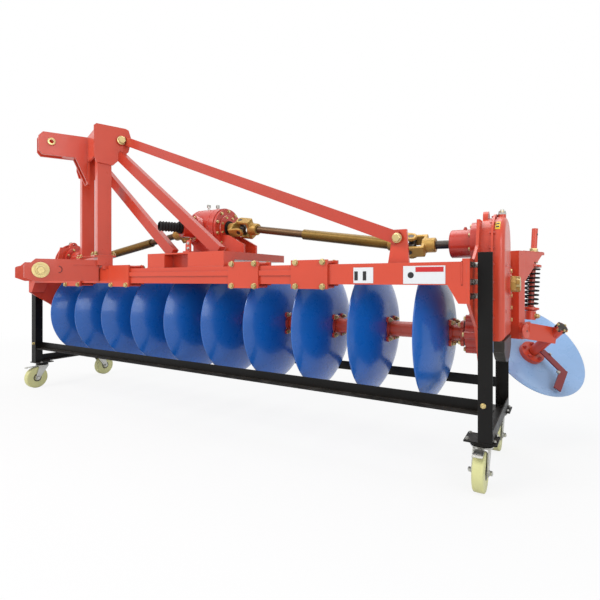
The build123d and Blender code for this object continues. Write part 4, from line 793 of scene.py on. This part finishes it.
# Nuts and cap of the furrow wheel
shape = Shape()
side = WHEEL_AXIS.orthogonal().normalized()
other = WHEEL_AXIS.cross(side)
for turn in range(5):
    angle = 2.0 * pi * turn / 5.0
    spot = HUB_BACK + WHEEL_AXIS * 31.0
    spot = spot + side * (cos(angle) * 50.0) + other * (sin(angle) * 50.0)
    shape.bolt(spot, WHEEL_AXIS, 12.0, stud=5.0, spin=turn)
piece("furrow_wheel_nuts", shape, "furrow_wheel", "red_cast")
shape = Shape()
shape.turned(
    HUB_BACK + WHEEL_AXIS * 263.0, WHEEL_AXIS,
    ((1.0, 30.0), (2.0, 33.0), (13.0, 33.0), (17.0, 30.0), (17.5, 22.0), (20.0, 19.0),
     (21.0, 8.0)), 6,
)
piece("spindle_cover", shape, "frame", "dark_steel")
shape = Shape()
for turn in range(3):
    angle = 2.0 * pi * turn / 3.0 + 0.4
    spot = HUB_BACK + WHEEL_AXIS * 280.0
    spot = spot + side * (cos(angle) * 23.0) + other * (sin(angle) * 23.0)
    shape.bolt(spot, WHEEL_AXIS, 7.0, spin=turn)
    edge = HUB_BACK + WHEEL_AXIS * 271.0
    way = side * cos(angle + 1.0) + other * sin(angle + 1.0)
    shape.bolt(edge + way * 29.0, way, 7.0, spin=turn)
piece("spindle_bolts", shape, "frame", "zinc")

# Bolts of the scraper: one at its clamp on the tube and one at the edge of its blade
scraper_out = Vector((0.696, -0.111, -0.710))
scraper_turn = Vector((-0.189, -0.828, -0.533))
scraper_root = HUB_BACK + WHEEL_AXIS * 78.0
shape = Shape()
beside = WHEEL_AXIS.cross(scraper_out).normalized()
shape.bolt(scraper_root + scraper_out * 62.0 + beside * 18.5, beside, 11.0, stud=5.0, spin=0.2)
beside = -WHEEL_AXIS.cross(scraper_turn).normalized()
elbow = scraper_root + scraper_out * 170.0
shape.bolt(elbow + scraper_turn * 24.0 + beside * 18.5, beside, 11.0, stud=5.0, spin=0.7)
piece("scraper_bolts", shape, "frame", "white_zinc")

# Nuts of the spring rod, its clevis and the pivot of the swing arm
rod_foot = hitch(*TAIL, -152.0, 0.0, ROD_FOOT_Z)
rod_way = (hitch(*TAIL, -205.0, 0.0, 1112.0) - rod_foot).normalized()
shape = Shape()
for z in (986.0, 928.0):
    shape.bolt(rod_foot + rod_way * ((z - ROD_FOOT_Z) / rod_way.z), rod_way, 24.0, spin=z)
for reach in ENDS:
    shape.bolt(hitch(*TAIL, -156.0, reach * 26.5, 646.0), reach * ACROSS, 15.0, stud=6.0, spin=0.6)
for z in (640.0, 700.0, 760.0, 820.0, 880.0):
    shape.bolt((1674.8, 240.0, z), X, 12.0, spin=z)
piece("tail_nuts", shape, "frame", "zinc")
shape = Shape()
pivot = hitch(*TAIL, 0.0, 50.0, 580.0)
shape.turned(pivot, ACROSS, ((-2.0, 38.0), (1.0, 38.0), (4.0, 35.0), (5.0, 30.0), (5.5, 6.0)), 40)
shape.turned(
    rod_foot + rod_way * 20.0, rod_way,
    ((-2.0, 26.0), (2.0, 33.0), (10.0, 33.0), (22.0, 17.0)), 32,
)
piece("tail_caps", shape, "frame", "red_paint")
shape = Shape()
shape.turned(pivot, ACROSS, ((5.0, 5.0), (6.2, 5.0), (6.6, 3.0)), 16)
spot = rod_foot + rod_way * ((1080.0 - ROD_FOOT_Z) / rod_way.z)
shape.turned(spot + ACROSS * 14.0, ACROSS, ((0.0, 5.0), (1.4, 5.0), (1.0, 3.0)), 16)
piece("tail_grease_points", shape, "frame", "dark_steel")

# Bolts of the trolley
shape = Shape()
for side in ENDS:
    for row in ENDS:
        for dx in (-52.0, 50.0):
            for dy in (-46.0, 32.0):
                z = 195.0 if dx < 0 else 200.0
                spot = (side * (CASTER_X + dx), row * (CASTER_Y + dy), z)
                shape.bolt(spot, Z, 8.0, spin=dx + dy)
    for z in (700.0, 760.0):
        shape.bolt((side * 1612.5, 272.0, z), side * X, 12.0, stud=4.0, spin=z)
piece("trolley_bolts", shape, "frame", "white_zinc")
shape = Shape()
for side in ENDS:
    for row in ENDS:
        shape.bolt((side * 1628.0, row * 301.0, 341.0), row * Y, 11.0, stud=4.0, spin=0.9)
piece("post_bolts", shape, "frame", "zinc")
shape = Shape()
for side in ENDS:
    for row in ENDS:
        x, y = side * 1610.0, row * CASTER_Y
        shape.bead((x, y, 350.0), (x, y + row * 46.0, 350.0), 2.6)
        shape.bead((side * 1613.0, y, 200.5), (side * 1656.0, y, 200.5), 2.6)
piece("trolley_welds", shape, "frame", "black_paint", sharp=60.0)

# Axle nuts, doubled fork cheeks, race rims and hub rings of the casters
for side, row, place in (
    (-1, -1, "near_left"),
    (1, -1, "near_right"),
    (-1, 1, "far_left"),
    (1, 1, "far_right"),
):
    trail = CASTER_TRAIL if place == "far_left" else -CASTER_TRAIL
    x, y = side * CASTER_X, row * CASTER_Y
    shape = Shape()
    for hand in ENDS:
        spot = (x + hand * 33.0, y + trail, CASTER_AXLE_Z)
        shape.bolt(spot, hand * X, 12.0, stud=2.0, spin=hand)
    piece(f"caster_nuts_{place}", shape, f"caster_swivel_{place}", "white_zinc")
    shape = Shape()
    for hand in ENDS:
        outline = []
        for a, b in ((-24.0, 162.0), (24.0, 162.0), (trail + 15.0, 92.0), (trail + 9.0, 66.0),
                     (trail - 9.0, 66.0), (trail - 15.0, 92.0)):
            outline.append((y + a, b) if hand > 0 else (b, y + a))
        along, across = (Y, Z) if hand > 0 else (Z, Y)
        shape.slab((x + hand * 30.0, 0.0, 0.0), along, across, 2.6, outline)
    shape.turned(
        (x, y, 168.4), Z,
        ((0.0, 38.0), (0.0, 45.0), (2.4, 46.0), (3.4, 45.0), (3.4, 38.0), (0.0, 38.0)), 40,
        caps=False,
    )
    piece(f"caster_cheeks_{place}", shape, f"caster_swivel_{place}", "white_zinc")
    shape = Shape()
    for hand in ENDS:
        face = x + hand * 22.0
        shape.turned(
            (face, y + trail, CASTER_AXLE_Z), hand * X,
            ((-2.0, 30.0), (0.6, 30.0), (1.6, 28.0), (1.6, 24.0), (0.2, 22.0), (-2.0, 22.0)), 32,
        )
    piece(f"caster_hub_{place}", shape, f"caster_roller_{place}", "dark_steel")

# Brake pedals of the two near casters, on the side that the wheel trails to
for side, place in ((-1, "near_left"), (1, "near_right")):
    x, y = side * CASTER_X, -CASTER_Y
    shape = Shape()
    shape.slab(
        (0.0, 0.0, 163.0), X, Y, 3.0,
        ((x - 16.0, y - 47.0), (x - 20.0, y - 108.0), (x - 15.0, y - 116.0),
         (x + 15.0, y - 116.0), (x + 20.0, y - 108.0), (x + 16.0, y - 47.0)),
    )
    shape.slab(
        (x - 20.0, 0.0, 0.0), Y, Z, 40.0,
        ((y - 115.0, 163.0), (y - 122.0, 157.0), (y - 124.0, 159.5), (y - 116.0, 166.0)),
    )
    for spread in (-9.0, 0.0, 9.0):
        shape.bead((x + spread - 3.0, y - 106.0, 165.6), (x + spread + 3.0, y - 106.0, 165.6), 2.0)
    piece(f"caster_pedal_{place}", shape, f"caster_swivel_{place}", "white_zinc")

# Floor: shaded by the object close by, plain white further out
mesh = bpy.data.meshes.new("floor")
FLOOR_REACH = 40.0
corners = ((-1, -1), (1, -1), (1, 1), (-1, 1))
points = [(a * FLOOR_REACH, b * FLOOR_REACH, 0.0) for a, b in corners]
mesh.from_pydata(points, [], [(0, 1, 2, 3)])
floor = bpy.data.objects.new("floor", mesh)
bpy.context.scene.collection.objects.link(floor)
floor_paint = bpy.data.materials.new("floor_paint")
floor_paint.use_nodes = True
tree = floor_paint.node_tree
tree.nodes.clear()
path = tree.nodes.new("ShaderNodeLightPath")
plain = tree.nodes.new("ShaderNodeBsdfDiffuse")
plain.inputs["Color"].default_value = (0.86, 0.86, 0.86, 1.0)
glow = tree.nodes.new("ShaderNodeEmission")
glow.inputs["Strength"].default_value = 1.0
mix = tree.nodes.new("ShaderNodeMixShader")
spread = tree.nodes.new("ShaderNodeVectorMath")
spread.operation = "LENGTH"
tree.links.new(tree.nodes.new("ShaderNodeTexCoord").outputs["Object"], spread.inputs[0])
away = ranged(tree, spread.outputs["Value"], 2.6, 5.5, 0.86, 1.0)
seen = combined(tree, path.outputs["Is Camera Ray"], away)
seen = combined(tree, seen, combined(tree, path.outputs["Is Glossy Ray"], 0.6), "ADD")
tree.links.new(seen, mix.inputs["Fac"])
tree.links.new(plain.outputs["BSDF"], mix.inputs[1])
tree.links.new(glow.outputs["Emission"], mix.inputs[2])
out = tree.nodes.new("ShaderNodeOutputMaterial")
tree.links.new(mix.outputs["Shader"], out.inputs["Surface"])
mesh.materials.append(floor_paint)

# World: plain white where it is seen, soft sky on the object
scene = bpy.context.scene
scene.view_settings.view_transform = "Standard"
world = bpy.data.worlds.new("studio")
scene.world = world
world.use_nodes = True
tree = world.node_tree
tree.nodes.clear()
path = tree.nodes.new("ShaderNodeLightPath")
sky = tree.nodes.new("ShaderNodeBackground")
sky.inputs["Color"].default_value = (0.93, 0.96, 1.0, 1.0)
sky.inputs["Strength"].default_value = 0.50
white = tree.nodes.new("ShaderNodeBackground")
white.inputs["Color"].default_value = (1.0, 1.0, 1.0, 1.0)
mix = tree.nodes.new("ShaderNodeMixShader")
seen = combined(tree, path.outputs["Is Camera Ray"], path.outputs["Is Transmission Ray"], "ADD")
seen = combined(tree, seen, combined(tree, path.outputs["Is Glossy Ray"], 0.9), "ADD")
tree.links.new(seen, mix.inputs["Fac"])
tree.links.new(sky.outputs["Background"], mix.inputs[1])
tree.links.new(white.outputs["Background"], mix.inputs[2])
out = tree.nodes.new("ShaderNodeOutputWorld")
tree.links.new(mix.outputs["Shader"], out.inputs["Surface"])

# Lamps, in metres from the middle of the footprint
LAMP_TARGET = Vector((0.0, 0.0, 0.7))
for name, place, size, power, colour in (
    ("key", (-2.6, -4.6, 5.2), 3.2, 230.0, (1.0, 0.97, 0.93)),
    ("fill", (4.8, -3.4, 2.6), 3.0, 82.0, (0.95, 0.97, 1.0)),
    ("top", (0.2, 1.2, 5.6), 4.0, 120.0, (1.0, 1.0, 1.0)),
):
    lamp = bpy.data.lights.new(name, "AREA")
    lamp.size = size
    lamp.energy = power
    lamp.color = colour
    holder = bpy.data.objects.new(name, lamp)
    holder.location = place
    aim = LAMP_TARGET - Vector(place)
    holder.rotation_euler = aim.to_track_quat("-Z", "Y").to_euler()
    scene.collection.objects.link(holder)

# Camera at the photograph's viewing angle
camera = bpy.data.cameras.new("camera")
camera.lens = 26.04
camera.sensor_width = 36.0
# The view's level is 20 of the photograph's 600 pixels off its middle
camera.shift_y = -20.0 / 600.0
eye = bpy.data.objects.new("camera", camera)
eye.location = (1.75563, -2.17902, 0.836)
eye.rotation_euler = (radians(90.0), 0.0, radians(31.0))
scene.collection.objects.link(eye)
scene.camera = eye
